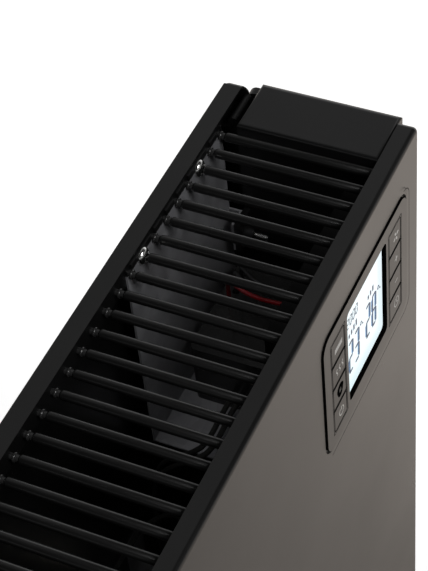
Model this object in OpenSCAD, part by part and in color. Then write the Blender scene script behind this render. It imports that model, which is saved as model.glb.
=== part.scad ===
// Slim free-standing panel convector with a turbo blower, a bar outlet and a
// raised control panel. Millimetres, X across the width, front towards -Y, +Z up.
// The origin is on the floor, below the middle of the body.

/* [Body] */
// Width of the pressed front and rear panels
body_w = 680; // [500:1:900]
// Height of the pressed front and rear panels
body_h = 400; // [380:1:480]
// Depth from the front face to the rear face
body_d = 90; // [86:1:110]
// Thickness of the steel sheet
sheet_t = 1; // [0.8:0.1:1.2]
// Depth of the panels' turned edges, the two long strips seen from above
flange_d = 8.6; // [8:0.1:10]
// Corner radius of the panels' outline
corner_r = 3; // [2.5:0.5:6]
// Bend radius between a panel's face and its turned edges
bend_r = 2.3; // [1.5:0.1:2.4]
// Height of the rear panel's fold that carries the bars
hem_h = 9; // [8:0.5:12]

/* [Side panels] */
// Width of a moulded side panel
side_w = 30.5; // [28:0.5:32]
// How far a side panel stands out past the pressed panels
side_proud = 5.5; // [4:0.5:6]
// Radius of a side panel's outer edges
side_r = 4.5; // [3:0.5:4.5]
// Wall thickness of a side panel
side_wall = 2.5; // [2:0.1:3]
// Distance from the front face to the rear of a side panel's block
side_back = 74; // [71:0.5:74]

/* [Outlet bars] */
// Diameter of an outlet bar
bar_d = 4.2; // [4:0.1:5.4]
// Distance between two neighbouring bars
bar_pitch = 10.9; // [10:0.1:13]
// Depth of the bars' axes below the top of the body
bar_drop = 5.1; // [5:0.1:6]
// Diameter of the pin behind each bar
pin_d = 3; // [2.5:0.1:3.5]
// Diameter of the weld bead round each pin
bead_d = 4.2; // [3.8:0.1:4.6]

/* [Control panel] */
// Width of the raised control panel
fascia_w = 95; // [94:0.5:98]
// Height of the raised control panel
fascia_h = 71.4; // [71:0.2:74]
// Corner radius of the control panel
fascia_r = 7; // [5:0.5:9]
// Width of the groove between the control panel and the front panel
groove_w = 1.4; // [1:0.1:1.6]
// How far the control panel stands out of the front face
fascia_proud = 0.7; // [0.5:0.1:1]
// Distance from the right end of the body to the panel's middle
fascia_in = 64.2; // [63:0.1:70]
// Distance from the top of the body to the panel's middle
fascia_down = 59.2; // [57:0.1:62]
// Width of the display window
window_w = 45; // [42:0.5:46]
// Height of the display window
window_h = 55.8; // [54:0.2:57]
// Width of a key
key_w = 13.8; // [12:0.1:14]
// Height of one key with its gap
key_pitch = 14; // [13:0.1:14]
// Distance from the panel's middle to the middle of a row of keys
key_off = 32.9; // [32:0.1:33.5]
// How far a key can be pressed
key_travel = 0.6; // [0.4:0.1:0.6]

/* [Power unit] */
// Width of the zinc-coated shield behind the controller
shield_w = 92; // [88:1:100]
// Distance from the top of the body down to the shield's shelf
shelf_down = 112; // [110:1:130]
// Width of the power unit on the shelf
power_w = 56; // [50:1:58]
// Depth of the power unit
power_deep = 42; // [38:1:46]
// Height of the power unit
power_h = 34; // [30:1:38]

/* [Feet] */
// Height of the feet, from the floor to the body
foot_h = 40; // [36:1:60]
// Length of a foot from front to back
foot_len = 200; // [180:5:240]
// Width of a foot
foot_w = 34; // [30:1:45]
// Distance from a foot's middle to the nearer end of the body
foot_in = 95; // [70:1:110]

/* [Heater and blower] */
// Distance from the left side panel to the heating element
element_left = 52; // [45:1:90]
// Distance from the right side panel to the heating element
element_right = 128; // [118:1:160]
// Height of the heating element's axis over the bottom of the body
element_up = 205; // [195:1:215]
// Diameter of the blower wheel
wheel_d = 46; // [40:1:48]
// Length of the blower wheel
wheel_len = 180; // [120:5:200]
// Number of blades on the blower wheel
blade_count = 24; // [16:1:28]
// Distance from the middle of the body to the middle of the blower wheel
blower_off = -20; // [-40:1:0]

/* [Hidden] */
$fn = 48;
fit = 0.3;
touch = 0.01;
top_z = foot_h + body_h;
bottom_z = foot_h;
front_y = -body_d / 2;
rear_y = body_d / 2;
right_x = body_w / 2;
side_in_x = right_x + side_proud - side_w;
side_front_y = front_y + flange_d + fit;
side_back_y = front_y + side_back;
hem_y = rear_y - flange_d;
bar_z = top_z - bar_drop;
lip_h = bar_drop - bar_d / 2 - sheet_t - 0.1;
side_out_x = right_x + side_proud;
side_z0 = bottom_z + 0.6;
side_z1 = top_z - 0.6;
side_soft_r = 1.5;
bar_front_y = front_y + 4.2;
bar_back_y = hem_y - 3.8;
bar_clear = side_in_x - 1.8 - bar_d / 2;
bar_half = floor(bar_clear / bar_pitch - 0.5);
bar_count = 2 * bar_half + 2;
bar_x0 = -(bar_half + 0.5) * bar_pitch;
fascia_x = right_x - fascia_in;
fascia_z = top_z - fascia_down;
fascia_y = front_y - fascia_proud;

// Shield of zinc-coated sheet behind the controller, with its shelf
shield_t = 1;
shield_x1 = side_in_x - 2;
shield_x0 = shield_x1 - shield_w;
shield_y = hem_y - shield_t - 0.05;
shield_top = top_z - 1.6;
shelf_z = top_z - shelf_down;
shelf_y0 = front_y + 26;
screw_bars = [2, 7];

ear_w = 12;
ear_screw_x = side_in_x - 7;
shield_ear_z = top_z - 59;
shield_ear_h = 16;
ear_y1 = side_back_y;
ear_t = 1.5;
ear_boss_d = 8;
ear_boss_y = ear_y1 - 8;
ear_screw_len = 16;
hatch_x = shield_x0 + 15;
hatch_y = 0;
hatch_d = 11;

// Screws between the side panels and the rear panel
side_screw_y = rear_y - 4.6;
side_screw_z = [bottom_z + 60, bottom_z + body_h / 2, top_z - 70];

// Places behind the control panel, from front to back
plate_back_y = front_y + 1.5;
lcd_t = 2.8;
light_t = 3.3;
board_y = plate_back_y + lcd_t + light_t;
seat_reach = groove_w + 1.8;
seat_back_y = front_y + sheet_t + 1.6;
rim_in = 2.3;
rim_wall = 1.6;
rim_deep = 4;
board_t = 1.6;
board_x0 = fascia_x - 44;
board_h = 66;
boss_d = 4.6;
boss_x = 26.8;
boss_z = 30.9;
boss_hole_d = 2.4;
window_up = 1;
stem_d = 4;
stem_y = board_y - 3;
key_front_y = fascia_y + 0.05;
key_back_y = plate_back_y;
key_gap = 0.6;
cover_t = 1.2;
cover_room = 0.6;
cover_x0 = fascia_x - fascia_w / 2 - seat_reach - cover_room - cover_t;
cover_x1 = side_in_x - cover_room;
cover_h = fascia_h + 2 * (seat_reach + cover_room + cover_t);
board_x1 = cover_x1 - cover_t - fit;
cover_y0 = front_y + sheet_t;
cover_y1 = front_y + 22.6;
cover_rim = 8;
stud_d = 3;
stud_len = 4;
stud_x = [cover_x0 + 12, cover_x1 - 12];
nut_t = 2.4;
plug_x = fascia_x - 2;
plug_z = fascia_z + 8;
plug_w = 18;
plug_h = 9;
plug_t = 6;

// Power unit that stands on the shelf
power_x1 = shield_x1 - 7;
power_x0 = power_x1 - power_w;
power_y0 = shelf_y0 + 6;
power_y1 = power_y0 + power_deep;
power_z0 = shelf_z + shield_t;
power_z1 = power_z0 + power_h;
power_r = 3;
lead_d = 2.8;
lead_step = lead_d + 0.8;
lead_out_y = [for (i = [1 : 6]) power_y0 + i * lead_step];
lead_out_z = power_z0 + 11;
top_lead_x = [power_x0 + 31, power_x0 + 38, power_x0 + 45];
top_lead_y = power_y0 + 36;

// Heating element and its carriers
element_x0 = -side_in_x + element_left;
element_x1 = side_in_x - element_right;
element_len = element_x1 - element_x0;
element_z = bottom_z + element_up;
fin_reach = 30;
fin_t = 1.6;
core_d = 13;
sheath_d = 8;
insulator_d = 18;
carrier_t = 1.2;
carrier_h = 60;

// Blower
blower_z = bottom_z + 62;
blower_x0 = blower_off - wheel_len / 2;
shaft_d = 5;
shaft_fit = 0.05;
bush_d = 9;
end_plate_t = 1.2;
disc_t = 1.5;
end_gap = 3;
plate_left_x = blower_x0 - end_gap - end_plate_t;
plate_right_x = blower_x0 + wheel_len + end_gap;
motor_x0 = plate_right_x + end_plate_t;
motor_len = 34;
motor_w = 50;
motor_h = 44;
coil_seat_z = blower_z + motor_h - 25;
coil_top = coil_seat_z + 9.5;
floor_t = 1.2;
floor_z = bottom_z + sheet_t;
slot_w = 5;
slot_len = 58;
slot_pitch = 14;

// Mains connection on the rear panel
gland_x = right_x - 55;
gland_z = bottom_z + 34;
gland_d = 15.2;
cord_d = 8.4;
terminal_x = gland_x - 40;
terminal_z = bottom_z + 74;
earth_x = terminal_x - 42;
signal_lead_d = 2.2;
lead_gap = 0.25;

// Feet
foot_screw_y = rear_y - 4.4;
foot_x = right_x - foot_in;
pad_t = 3;
pad_d = 18;

// Rounded rectangle in the XZ plane, pushed back along Y from y0 to y1
module face_block(w, h, r, y0, y1) {
    translate([0, y1, 0])
        rotate([90, 0, 0])
            linear_extrude(y1 - y0)
                rounded(w, h, r);
}

// Rounded rectangle about the middle, as a flat outline
module rounded(w, h, r) {
    union() {
        square([w - 2 * r, h], center = true);
        square([w, h - 2 * r], center = true);
        for (sx = [-1, 1])
            for (sz = [-1, 1])
                translate([sx * (w / 2 - r), sz * (h / 2 - r)])
                    circle(r);
    }
}

// Cylinder along Y from y0 to y1
module rod_y(x, z, d, y0, y1) {
    translate([x, y1, z])
        rotate([90, 0, 0])
            cylinder(d = d, h = y1 - y0);
}

// Cylinder along X from x0 to x1
module rod_x(y, z, d, x0, x1) {
    translate([x0, y, z])
        rotate([0, 90, 0])
            cylinder(d = d, h = x1 - x0);
}

// Box between two corners
module block(a, b) {
    translate(a)
        cube([b[0] - a[0], b[1] - a[1], b[2] - a[2]]);
}

// Section of a pressed panel's edge: face, bend and turned edge.
// The first axis runs outwards, the second goes back from the face.
module edge_section() {
    in_r = bend_r - sheet_t;
    difference() {
        union() {
            square([corner_r - bend_r, flange_d]);
            translate([0, bend_r])
                square([corner_r, flange_d - bend_r]);
            translate([corner_r - bend_r, bend_r])
                intersection() {
                    circle(bend_r);
                    translate([0, -bend_r])
                        square(bend_r);
                }
        }
        translate([-1, sheet_t])
            square([corner_r - bend_r + 1, flange_d]);
        translate([-1, bend_r])
            square([corner_r - sheet_t + 1, flange_d]);
        translate([corner_r - bend_r, bend_r])
            circle(in_r);
    }
}

// Pressed panel with its face on y = 0 and its edges turned back along +Y
module pressed_panel(w, h) {
    block(
        [-w / 2 + corner_r, 0, -h / 2 + corner_r],
        [w / 2 - corner_r, sheet_t, h / 2 - corner_r]);
    for (i = [0 : 3]) {
        out = i % 2 == 0 ? w / 2 : h / 2;
        along = (i % 2 == 0 ? h / 2 : w / 2) - corner_r;
        rotate([0, -90 * i, 0])
            translate([out - corner_r, 0, -along]) {
                linear_extrude(2 * along)
                    edge_section();
                rotate([-90, 0, 0])
                    rotate_extrude(angle = 90)
                        edge_section();
            }
    }
}

module front_panel() {
    color([0.03, 0.03, 0.032])
        difference() {
            union() {
                translate([0, front_y, bottom_z + body_h / 2])
                    pressed_panel(body_w, body_h);
                block(
                    [-right_x + corner_r, front_y + flange_d - sheet_t, top_z - sheet_t - lip_h],
                    [right_x - corner_r, front_y + flange_d, top_z - sheet_t]);
            }
            translate([fascia_x, 0, fascia_z])
                face_block(
                    fascia_w + 2 * groove_w, fascia_h + 2 * groove_w, fascia_r + groove_w,
                    front_y - 1, front_y + sheet_t + 1);
            foot_holes(-foot_screw_y);
        }
    color([0.3, 0.3, 0.3])
        for (x = stud_x)
            for (s = [-1, 1])
                rod_y(x, fascia_z + s * (cover_h / 2 + cover_rim / 2), stud_d, cover_y0, cover_y0 + stud_len);
}

// Holes for the foot screws in a panel's lower edge
module foot_holes(y) {
    for (x = [-foot_x, foot_x])
        translate([x, y, bottom_z - 1])
            cylinder(d = 4.4, h = 4);
}

module rear_panel() {
    wing_w = 2.2;
    wing_r = 3;
    wing_drop = 1.8;
    color([0.03, 0.03, 0.032])
        difference() {
            union() {
                translate([0, rear_y, bottom_z + body_h / 2])
                    rotate([0, 0, 180])
                        pressed_panel(body_w, body_h);
                block(
                    [-side_in_x, hem_y, top_z - sheet_t - hem_h],
                    [side_in_x, hem_y + sheet_t, top_z - sheet_t]);
                for (side = [0, 1])
                    mirror([side, 0, 0])
                        slab_x(
                            hem_y - wing_w, hem_y + 2 * wing_r,
                            bottom_z + wing_r, top_z - wing_drop,
                            wing_r, right_x - sheet_t, right_x);
            }
            rod_y(gland_x, gland_z, gland_d, rear_y - sheet_t - 1, rear_y + 1);
            foot_holes(foot_screw_y);
            for (side = [0, 1])
                mirror([side, 0, 0])
                    for (z = side_screw_z)
                        rod_x(side_screw_y, z, 3.6, right_x - sheet_t - 1, right_x + 1);
            for (k = screw_bars)
                rod_y(-bar_x0 - k * bar_pitch, bar_z, 3.2, hem_y - 1, hem_y + sheet_t + 1);
        }
}

// Section of a side panel across the width, most rounded along its outer edges
module side_outline() {
    r = side_r;
    soft = side_soft_r;
    translate([side_in_x + soft, side_z0])
        square([side_out_x - r - side_in_x - soft, side_z1 - side_z0]);
    translate([side_in_x, side_z0 + soft])
        square([soft, side_z1 - side_z0 - 2 * soft]);
    translate([side_out_x - r, side_z0 + r])
        square([r, side_z1 - side_z0 - 2 * r]);
    for (z = [side_z0 + r, side_z1 - r])
        translate([side_out_x - r, z])
            circle(r);
    for (z = [side_z0 + soft, side_z1 - soft])
        translate([side_in_x + soft, z])
            circle(soft);
}

// Rounded rectangle in the YZ plane, pushed along X from x0 to x1
module slab_x(y0, y1, z0, z1, r, x0, x1) {
    translate([x0, (y0 + y1) / 2, (z0 + z1) / 2])
        rotate([90, 0, 90])
            linear_extrude(x1 - x0)
                rounded(y1 - y0, z1 - z0, r);
}

// Block of a side panel: its section across the width, softened seen from
// above and from the side as well
module side_core() {
    intersection() {
        translate([0, side_back_y, 0])
            rotate([90, 0, 0])
                linear_extrude(side_back_y - side_front_y)
                    side_outline();
        rounded_box(
            side_in_x - 1, side_front_y, side_out_x, side_back_y,
            side_soft_r, side_z0 - 1, side_z1 + 1);
        slab_x(
            side_front_y, side_back_y, side_z0, side_z1,
            side_soft_r, side_in_x - 1, side_out_x + 1);
    }
}

// Right side panel: a hollow block with a tongue into each pressed panel, a
// ridge before the rear panel's fold and a skirt beside the rear panel's end
module side_panel() {
    wall = 2;
    rear_x0 = side_in_x + 7;
    front_x0 = max(rear_x0, fascia_x + fascia_w / 2 + seat_reach + fit);
    tongue_x1 = right_x - sheet_t - fit;
    tongue_z0 = bottom_z + sheet_t + hem_h + fit;
    tongue_z1 = top_z - sheet_t - hem_h - fit;
    tongue_y0 = front_y + bend_r;
    tongue_y1 = rear_y - bend_r;
    tongue_low = bottom_z + 6;
    tongue_high = top_z - 5;
    ridge_y1 = hem_y - fit;
    ridge_w = 3.7;
    ridge_z1 = top_z - 4.6;
    ledge_z = top_z - 9;
    skirt_y1 = hem_y - fit;
    skirt_r = 4;
    skirt_x0 = right_x + 2 * fit;
    skirt_z1 = top_z - 5.4;
    difference() {
        union() {
            side_core();
            slab_x(
                side_back_y - 2 * skirt_r, skirt_y1, bottom_z + 8, skirt_z1,
                skirt_r, skirt_x0, side_out_x - 0.5);
            block(
                [front_x0, tongue_y0, tongue_low],
                [tongue_x1, side_front_y + side_soft_r, tongue_high]);
            block(
                [rear_x0, side_back_y - side_soft_r, tongue_z0],
                [tongue_x1, tongue_y1, tongue_z1]);
            block(
                [rear_x0, side_back_y - side_soft_r, tongue_z1 - touch],
                [tongue_x1, ridge_y1, ledge_z]);
            slab_x(
                ridge_y1 - ridge_w, ridge_y1, ledge_z - 2 * ridge_w, ridge_z1,
                ridge_w / 2 - fit, rear_x0, tongue_x1);
        }
        block(
            [side_in_x + side_wall, side_front_y + side_wall, side_z0 + side_wall],
            [side_out_x - side_wall, side_back_y - side_wall, side_z1 - side_wall]);
        block(
            [front_x0 + wall, tongue_y0 + wall, tongue_low + wall],
            [tongue_x1 - wall, side_front_y - wall, tongue_high - wall]);
        block(
            [rear_x0 + wall, side_back_y + wall, tongue_z0 + wall],
            [tongue_x1 - wall, tongue_y1 - 1, tongue_z1 - wall]);
        for (z = side_screw_z)
            rod_x(side_screw_y, z, 3.4, right_x - 7, tongue_x1 + 1);
    }
}

module side_panel_right() {
    color([0.035, 0.035, 0.037])
        difference() {
            union() {
                side_panel();
                block(
                    [side_in_x - ear_w, ear_y1 - ear_t - side_soft_r, shield_ear_z - shield_ear_h / 2],
                    [side_in_x + side_wall, ear_y1, shield_ear_z + shield_ear_h / 2]);
                rod_y(ear_screw_x, shield_ear_z, ear_boss_d, ear_boss_y, ear_y1);
            }
            rod_y(ear_screw_x, shield_ear_z, 3.8, ear_boss_y - 1, ear_y1 + 1);
        }
}

module side_panel_left() {
    color([0.035, 0.035, 0.037])
        mirror([1, 0, 0])
            side_panel();
}

// One outlet bar with its rounded rear end
module outlet_bar() {
    end_r = 0.9;
    rotate([90, 0, 0])
        rotate_extrude() {
            square([bar_d / 2 - end_r, bar_back_y - bar_front_y]);
            translate([0, end_r])
                square([bar_d / 2, bar_back_y - bar_front_y - end_r]);
            translate([bar_d / 2 - end_r, end_r])
                circle(end_r);
        }
}

module outlet_bars() {
    color([0.03, 0.03, 0.032])
        for (i = [0 : bar_count - 1])
            translate([bar_x0 + i * bar_pitch, bar_back_y, bar_z])
                outlet_bar();
}

// Pins and weld beads between the bars and the rear panel's fold, except
// behind the two bars whose ends sit behind the shield's screws
module bar_pins() {
    color([0.05, 0.05, 0.052])
        for (i = [0 : bar_count - 1])
            if (len(search(bar_count - 1 - i, screw_bars)) == 0)
                translate([bar_x0 + i * bar_pitch, hem_y, bar_z])
                    rotate([90, 0, 0]) {
                        cylinder(d = pin_d, h = hem_y - bar_back_y);
                        translate([0, 0, 1.6])
                            cylinder(d = bead_d, h = 0.8);
                    }
}

// Strip under the front panel's top edge that carries the bars' front ends
module front_bar_rail() {
    y0 = front_y + 5.2;
    color([0.03, 0.03, 0.032])
        difference() {
            block(
                [-side_in_x + 7, y0, bar_z - 8],
                [side_in_x - 7 , y0 + 1.6, bar_z + 4]);
            for (i = [0 : bar_count - 1])
                rod_y(bar_x0 + i * bar_pitch, bar_z, bar_d, y0 - 1, y0 + 3);
        }
}

module side_screws() {
    color([0.12, 0.12, 0.125])
        for (side = [0, 1])
            mirror([side, 0, 0])
                for (z = side_screw_z) {
                    rod_x(side_screw_y, z, 3.2, right_x - 6, right_x);
                    rod_x(side_screw_y, z, 6.4, right_x, right_x + 1.8);
                }
}

// Zinc-coated sheet folded into a back and a shelf
module electronics_shield() {
    color([0.45, 0.45, 0.45])
        difference() {
            union() {
                block([shield_x0, shield_y, shelf_z], [shield_x1, shield_y + shield_t, shield_top]);
                block([shield_x0, shelf_y0, shelf_z], [shield_x1, shield_y, shelf_z + shield_t]);
                block(
                    [shield_x1 - shield_t, ear_y1, shield_ear_z - shield_ear_h / 2],
                    [shield_x1, shield_y, shield_ear_z + shield_ear_h / 2]);
                block(
                    [side_in_x - ear_w, ear_y1, shield_ear_z - shield_ear_h / 2],
                    [shield_x1, ear_y1 + shield_t, shield_ear_z + shield_ear_h / 2]);
            }
            for (k = [0 : ceil((right_x - shield_x0) / bar_pitch)])
                translate([-bar_x0 - k * bar_pitch, 0, 0])
                    if (len(search(k, screw_bars)) == 0)
                        block(
                            [-pin_d / 2 - fit, shield_y - 1, bar_z - pin_d / 2 - fit],
                            [pin_d / 2 + fit, shield_y + 2, top_z + 1]);
                    else
                        rod_y(0, bar_z, 3.6, shield_y - 1, shield_y + 2);
            rod_y(ear_screw_x, shield_ear_z, 3.8, ear_y1 - 1, ear_y1 + shield_t + 1);
            translate([hatch_x, hatch_y, shelf_z - 1])
                cylinder(d = hatch_d, h = shield_t + 2);
        }
}

// Pan head screw along +Y: the head's rear face is at y, the shank points back
module pan_screw(x, y, z, d, head_d, head_h, len) {
    translate([x, y, z])
        rotate([-90, 0, 0]) {
            translate([0, 0, -head_h])
                difference() {
                    cylinder(d1 = head_d * 0.7, d2 = head_d, h = head_h);
                    translate([0, 0, head_h * 0.35])
                        cube([head_d * 0.5, head_d * 0.12, head_h * 0.75], center = true);
                    translate([0, 0, head_h * 0.35])
                        cube([head_d * 0.12, head_d * 0.5, head_h * 0.75], center = true);
                }
            cylinder(d = d, h = len);
        }
}

module shield_screws() {
    color([0.75, 0.75, 0.73])
        for (k = screw_bars)
            pan_screw(-bar_x0 - k * bar_pitch, shield_y, bar_z, 3.1, 7.8, 2.4, 6);
}

// Screw through the shield's ear, its thread standing free towards the front
module side_wall_screw() {
    y = ear_y1 + shield_t;
    color([0.75, 0.75, 0.73])
        mirror([0, 1, 0])
            pan_screw(ear_screw_x, -y, shield_ear_z, 3.5, 6.4, 2, ear_screw_len);
}

// Places a copy at each key: its name's number, then its middle
function key_column(i) = i < 4 ? -key_off : key_off;
function key_row(i) = (1.5 - (i % 4)) * key_pitch;

// Control panel: it passes through the front panel's opening with a small gap
// all round, and its seat rests behind the sheet
module control_fascia() {
    rim_w = fascia_w - 2 * rim_in;
    rim_h = fascia_h - 2 * rim_in;
    color([0.09, 0.09, 0.09])
        difference() {
            translate([fascia_x, 0, fascia_z]) {
                face_block(fascia_w, fascia_h, fascia_r, fascia_y, plate_back_y);
                difference() {
                    union() {
                        face_block(
                            fascia_w + 2 * seat_reach, fascia_h + 2 * seat_reach,
                            fascia_r + seat_reach, front_y + sheet_t, seat_back_y);
                        face_block(rim_w, rim_h, fascia_r - rim_in, plate_back_y, plate_back_y + rim_deep);
                    }
                    face_block(
                        rim_w - 2 * rim_wall, rim_h - 2 * rim_wall,
                        fascia_r - rim_in - rim_wall, plate_back_y, plate_back_y + rim_deep + 1);
                }
                for (sx = [-1, 1])
                    for (sz = [-1, 1])
                        rod_y(sx * boss_x, sz * boss_z, boss_d, plate_back_y, board_y);
            }
            for (sx = [-1, 1])
                for (sz = [-1, 1])
                    rod_y(
                        fascia_x + sx * boss_x, fascia_z + sz * boss_z,
                        boss_hole_d, plate_back_y, board_y + 1);
            translate([fascia_x, 0, fascia_z + window_up])
                face_block(window_w, window_h, 2.5, fascia_y - 1, plate_back_y);
            for (s = [-1, 1])
                translate([fascia_x + s * key_off, 0, fascia_z])
                    face_block(key_w + key_gap, 4 * key_pitch + 0.1, 1.5, fascia_y - 1, plate_back_y);
        }
}

module display_panel() {
    color([0.75, 0.85, 0.95])
        translate([fascia_x, 0, fascia_z + window_up])
            face_block(window_w + 3, window_h + 1.6, 0.8, plate_back_y, plate_back_y + lcd_t);
}

module display_light() {
    color([0.9, 0.9, 0.88])
        translate([fascia_x, 0, fascia_z + window_up])
            difference() {
                face_block(window_w + 3, window_h + 1.6, 0.8, plate_back_y + lcd_t, board_y);
                face_block(window_w - 2, window_h - 3, 0.8, plate_back_y + lcd_t + 1.2, board_y);
            }
}

module control_board() {
    color([0.05, 0.22, 0.1])
        difference() {
            block(
                [board_x0, board_y, fascia_z - board_h / 2],
                [board_x1, board_y + board_t, fascia_z + board_h / 2]);
            for (sx = [-1, 1])
                for (sz = [-1, 1])
                    rod_y(
                        fascia_x + sx * boss_x, fascia_z + sz * boss_z, 2.4,
                        board_y - 1, board_y + board_t + 1);
        }
}

// Eight tact switches whose buttons stand a little behind the keys' stems
module key_switches() {
    button_y = stem_y + key_travel + 0.15;
    color([0.06, 0.06, 0.06])
        for (i = [0 : 7]) {
            x = fascia_x + key_column(i);
            z = fascia_z + key_row(i);
            block([x - 3, board_y - 1.6, z - 3], [x + 3, board_y, z + 3]);
            rod_y(x, z, 3.4, button_y, board_y - 1.6);
        }
}

module board_screws() {
    color([0.7, 0.7, 0.68])
        for (sx = [-1, 1])
            for (sz = [-1, 1])
                mirror([0, 1, 0])
                    pan_screw(
                        fascia_x + sx * boss_x, -(board_y + board_t), fascia_z + sz * boss_z,
                        2, 4.2, 1.5, 6);
}

// White plug on the board's back, where the leads end
module lead_plug() {
    color([0.8, 0.78, 0.7])
        translate([plug_x, board_y + board_t, plug_z])
            difference() {
                block([-plug_w / 2, 0, -plug_h / 2], [plug_w / 2, plug_t, plug_h / 2]);
                for (s = [-1, 1])
                    translate([0, plug_t - 1.5, s * plug_h / 2])
                        cube([plug_w + 2, 1.2, 1.6], center = true);
            }
}

module tilt_switch() {
    color([0.1, 0.1, 0.1])
        translate([fascia_x + 26, board_y + board_t, fascia_z - 14]) {
            block([-5, 0, -8], [5, 9, 8]);
            for (s = [-1, 1])
                block([s * 3 - 0.6, 0, 8], [s * 3 + 0.6, 1.2, 10]);
        }
}

// Moulded cover over the board, with a rim above and below for the studs
module controller_cover() {
    z0 = fascia_z - cover_h / 2;
    z1 = fascia_z + cover_h / 2;
    color([0.03, 0.03, 0.03])
        difference() {
            union() {
                block([cover_x0, cover_y0, z0], [cover_x1, cover_y1, z1]);
                block([cover_x0, cover_y0, z0 - cover_rim], [cover_x1, cover_y0 + cover_t, z1 + cover_rim]);
            }
            block(
                [cover_x0 + cover_t, cover_y0 - 1, z0 + cover_t],
                [cover_x1 - cover_t, cover_y1 - cover_t, z1 - cover_t]);
            block(
                [cover_x1 - cover_t - 1, cover_y0 - 1, z0 + cover_t],
                [cover_x1 + 1, side_front_y - 0.4, z1 - cover_t]);
            for (x = stud_x)
                for (s = [-1, 1])
                    rod_y(
                        x, fascia_z + s * (cover_h / 2 + cover_rim / 2), stud_d + 0.4,
                        cover_y0 - 1, cover_y0 + cover_t + 1);
            translate([plug_x, 0, plug_z])
                block([-plug_w / 2 - 2, cover_y1 - cover_t - 1, -8], [plug_w / 2 + 2, cover_y1 + 1, 8]);
        }
}

module cover_nuts() {
    color([0.7, 0.7, 0.68])
        for (x = stud_x)
            for (s = [-1, 1])
                translate([x, cover_y0 + cover_t + nut_t, fascia_z + s * (cover_h / 2 + cover_rim / 2)])
                    rotate([90, 0, 0])
                        difference() {
                            cylinder(d = 6.2, h = nut_t, $fn = 6);
                            translate([0, 0, -1])
                                cylinder(d = stud_d + 0.1, h = nut_t + 2);
                        }
}

// One key: a cap with a stem behind it
module key(i) {
    color([0.1, 0.1, 0.1])
        translate([fascia_x + key_column(i), 0, fascia_z + key_row(i)]) {
            face_block(key_w, key_pitch - key_gap, 1, key_front_y, key_back_y);
            rod_y(0, 0, stem_d, key_back_y, stem_y);
        }
}

module key_heat() {
    key(0);
}

module key_mode() {
    key(1);
}

module key_lock() {
    key(2);
}

module key_power() {
    key(3);
}

module key_fan() {
    key(4);
}

module key_plus() {
    key(5);
}

module key_minus() {
    key(6);
}

module key_timer() {
    key(7);
}

// Rounded box standing on the XY plane
module rounded_box(x0, y0, x1, y1, r, z0, z1) {
    translate([(x0 + x1) / 2, (y0 + y1) / 2, z0])
        linear_extrude(z1 - z0)
            rounded(x1 - x0, y1 - y0, r);
}

module power_unit() {
    wall = 2;
    color([0.03, 0.03, 0.03])
        difference() {
            rounded_box(power_x0, power_y0, power_x1, power_y1, power_r, power_z0, power_z1 - 2);
            rounded_box(
                power_x0 + wall, power_y0 + wall, power_x1 - wall, power_y1 - wall,
                power_r - wall, power_z0 + wall, power_z1);
            for (y = lead_out_y)
                rod_x(y, lead_out_z, lead_d + 0.4, power_x0 - 1, power_x0 + wall + 1);
        }
}

module power_unit_lid() {
    color([0.04, 0.04, 0.04]) {
        difference() {
            rounded_box(power_x0, power_y0, power_x1, power_y1, power_r, power_z1 - 2, power_z1);
            for (x = top_lead_x)
                translate([x, top_lead_y, power_z1 - 3])
                    cylinder(d = lead_d + 0.6, h = 4);
        }
        for (x = [power_x0 + 6, power_x1 - 6])
            for (y = [power_y0 + 6, power_y1 - 6])
                translate([x, y, power_z1])
                    cylinder(d = 5, h = 1.2);
    }
}

// Section of the element's aluminium: a tube with fins that fork outwards
module element_section() {
    difference() {
        union() {
            circle(d = core_d);
            for (a = [35, 145, 215, 325])
                rotate(a) {
                    translate([0, -fin_t / 2])
                        square([fin_reach, fin_t]);
                    for (s = [-1, 1])
                        translate([fin_reach * 0.55, 0])
                            rotate(s * 28)
                                translate([0, -fin_t / 2])
                                    square([fin_reach * 0.42, fin_t]);
                }
            for (a = [0, 180])
                rotate(a)
                    translate([0, -fin_t / 2])
                        square([fin_reach * 0.8, fin_t]);
        }
        circle(d = sheath_d);
    }
}

module heating_element() {
    color([0.55, 0.55, 0.56])
        translate([element_x0, 0, element_z])
            rotate([90, 0, 90])
                linear_extrude(element_len)
                    element_section();
}

module element_sheath() {
    color([0.35, 0.33, 0.31])
        for (end = [0, 1]) {
            x = end == 0 ? element_x0 - 22 : element_x1;
            rod_x(0, element_z, sheath_d, x, x + 22);
        }
}

module element_insulators() {
    color([0.85, 0.83, 0.78])
        for (x = [element_x0 - 12, element_x1 + 2])
            difference() {
                union() {
                    rod_x(0, element_z, insulator_d, x, x + 10);
                    rod_x(0, element_z, insulator_d + 5, x + 3, x + 5.4);
                }
                rod_x(0, element_z, sheath_d + 0.1, x - 1, x + 11);
            }
}

// Sheet carriers that hold the element's ends to the rear panel
module element_carriers() {
    y1 = rear_y - sheet_t;
    color([0.42, 0.42, 0.42])
        for (x = [element_x0 - 12 + 5.4 + touch, element_x1 + 2 + 5.4 + touch])
            difference() {
                union() {
                    block(
                        [x, -33, element_z - carrier_h / 2],
                        [x + carrier_t, y1, element_z + carrier_h / 2]);
                    block(
                        [x, y1 - carrier_t, element_z - carrier_h / 2],
                        [x + 14, y1, element_z + carrier_h / 2]);
                }
                rod_x(0, element_z, insulator_d + 0.1, x - 1, x + carrier_t + 1);
            }
}

module thermal_cutout() {
    x = element_x1 + 2 + 5.4 + carrier_t + 2 * touch;
    color([0.12, 0.1, 0.08]) {
        rod_x(20, element_z + 18, 16, x, x + 9);
        for (s = [-1, 1])
            block([x + 9, 20 + s * 4 - 2.4, element_z + 17.6], [x + 17, 20 + s * 4 + 2.4, element_z + 18.4]);
    }
}

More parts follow.
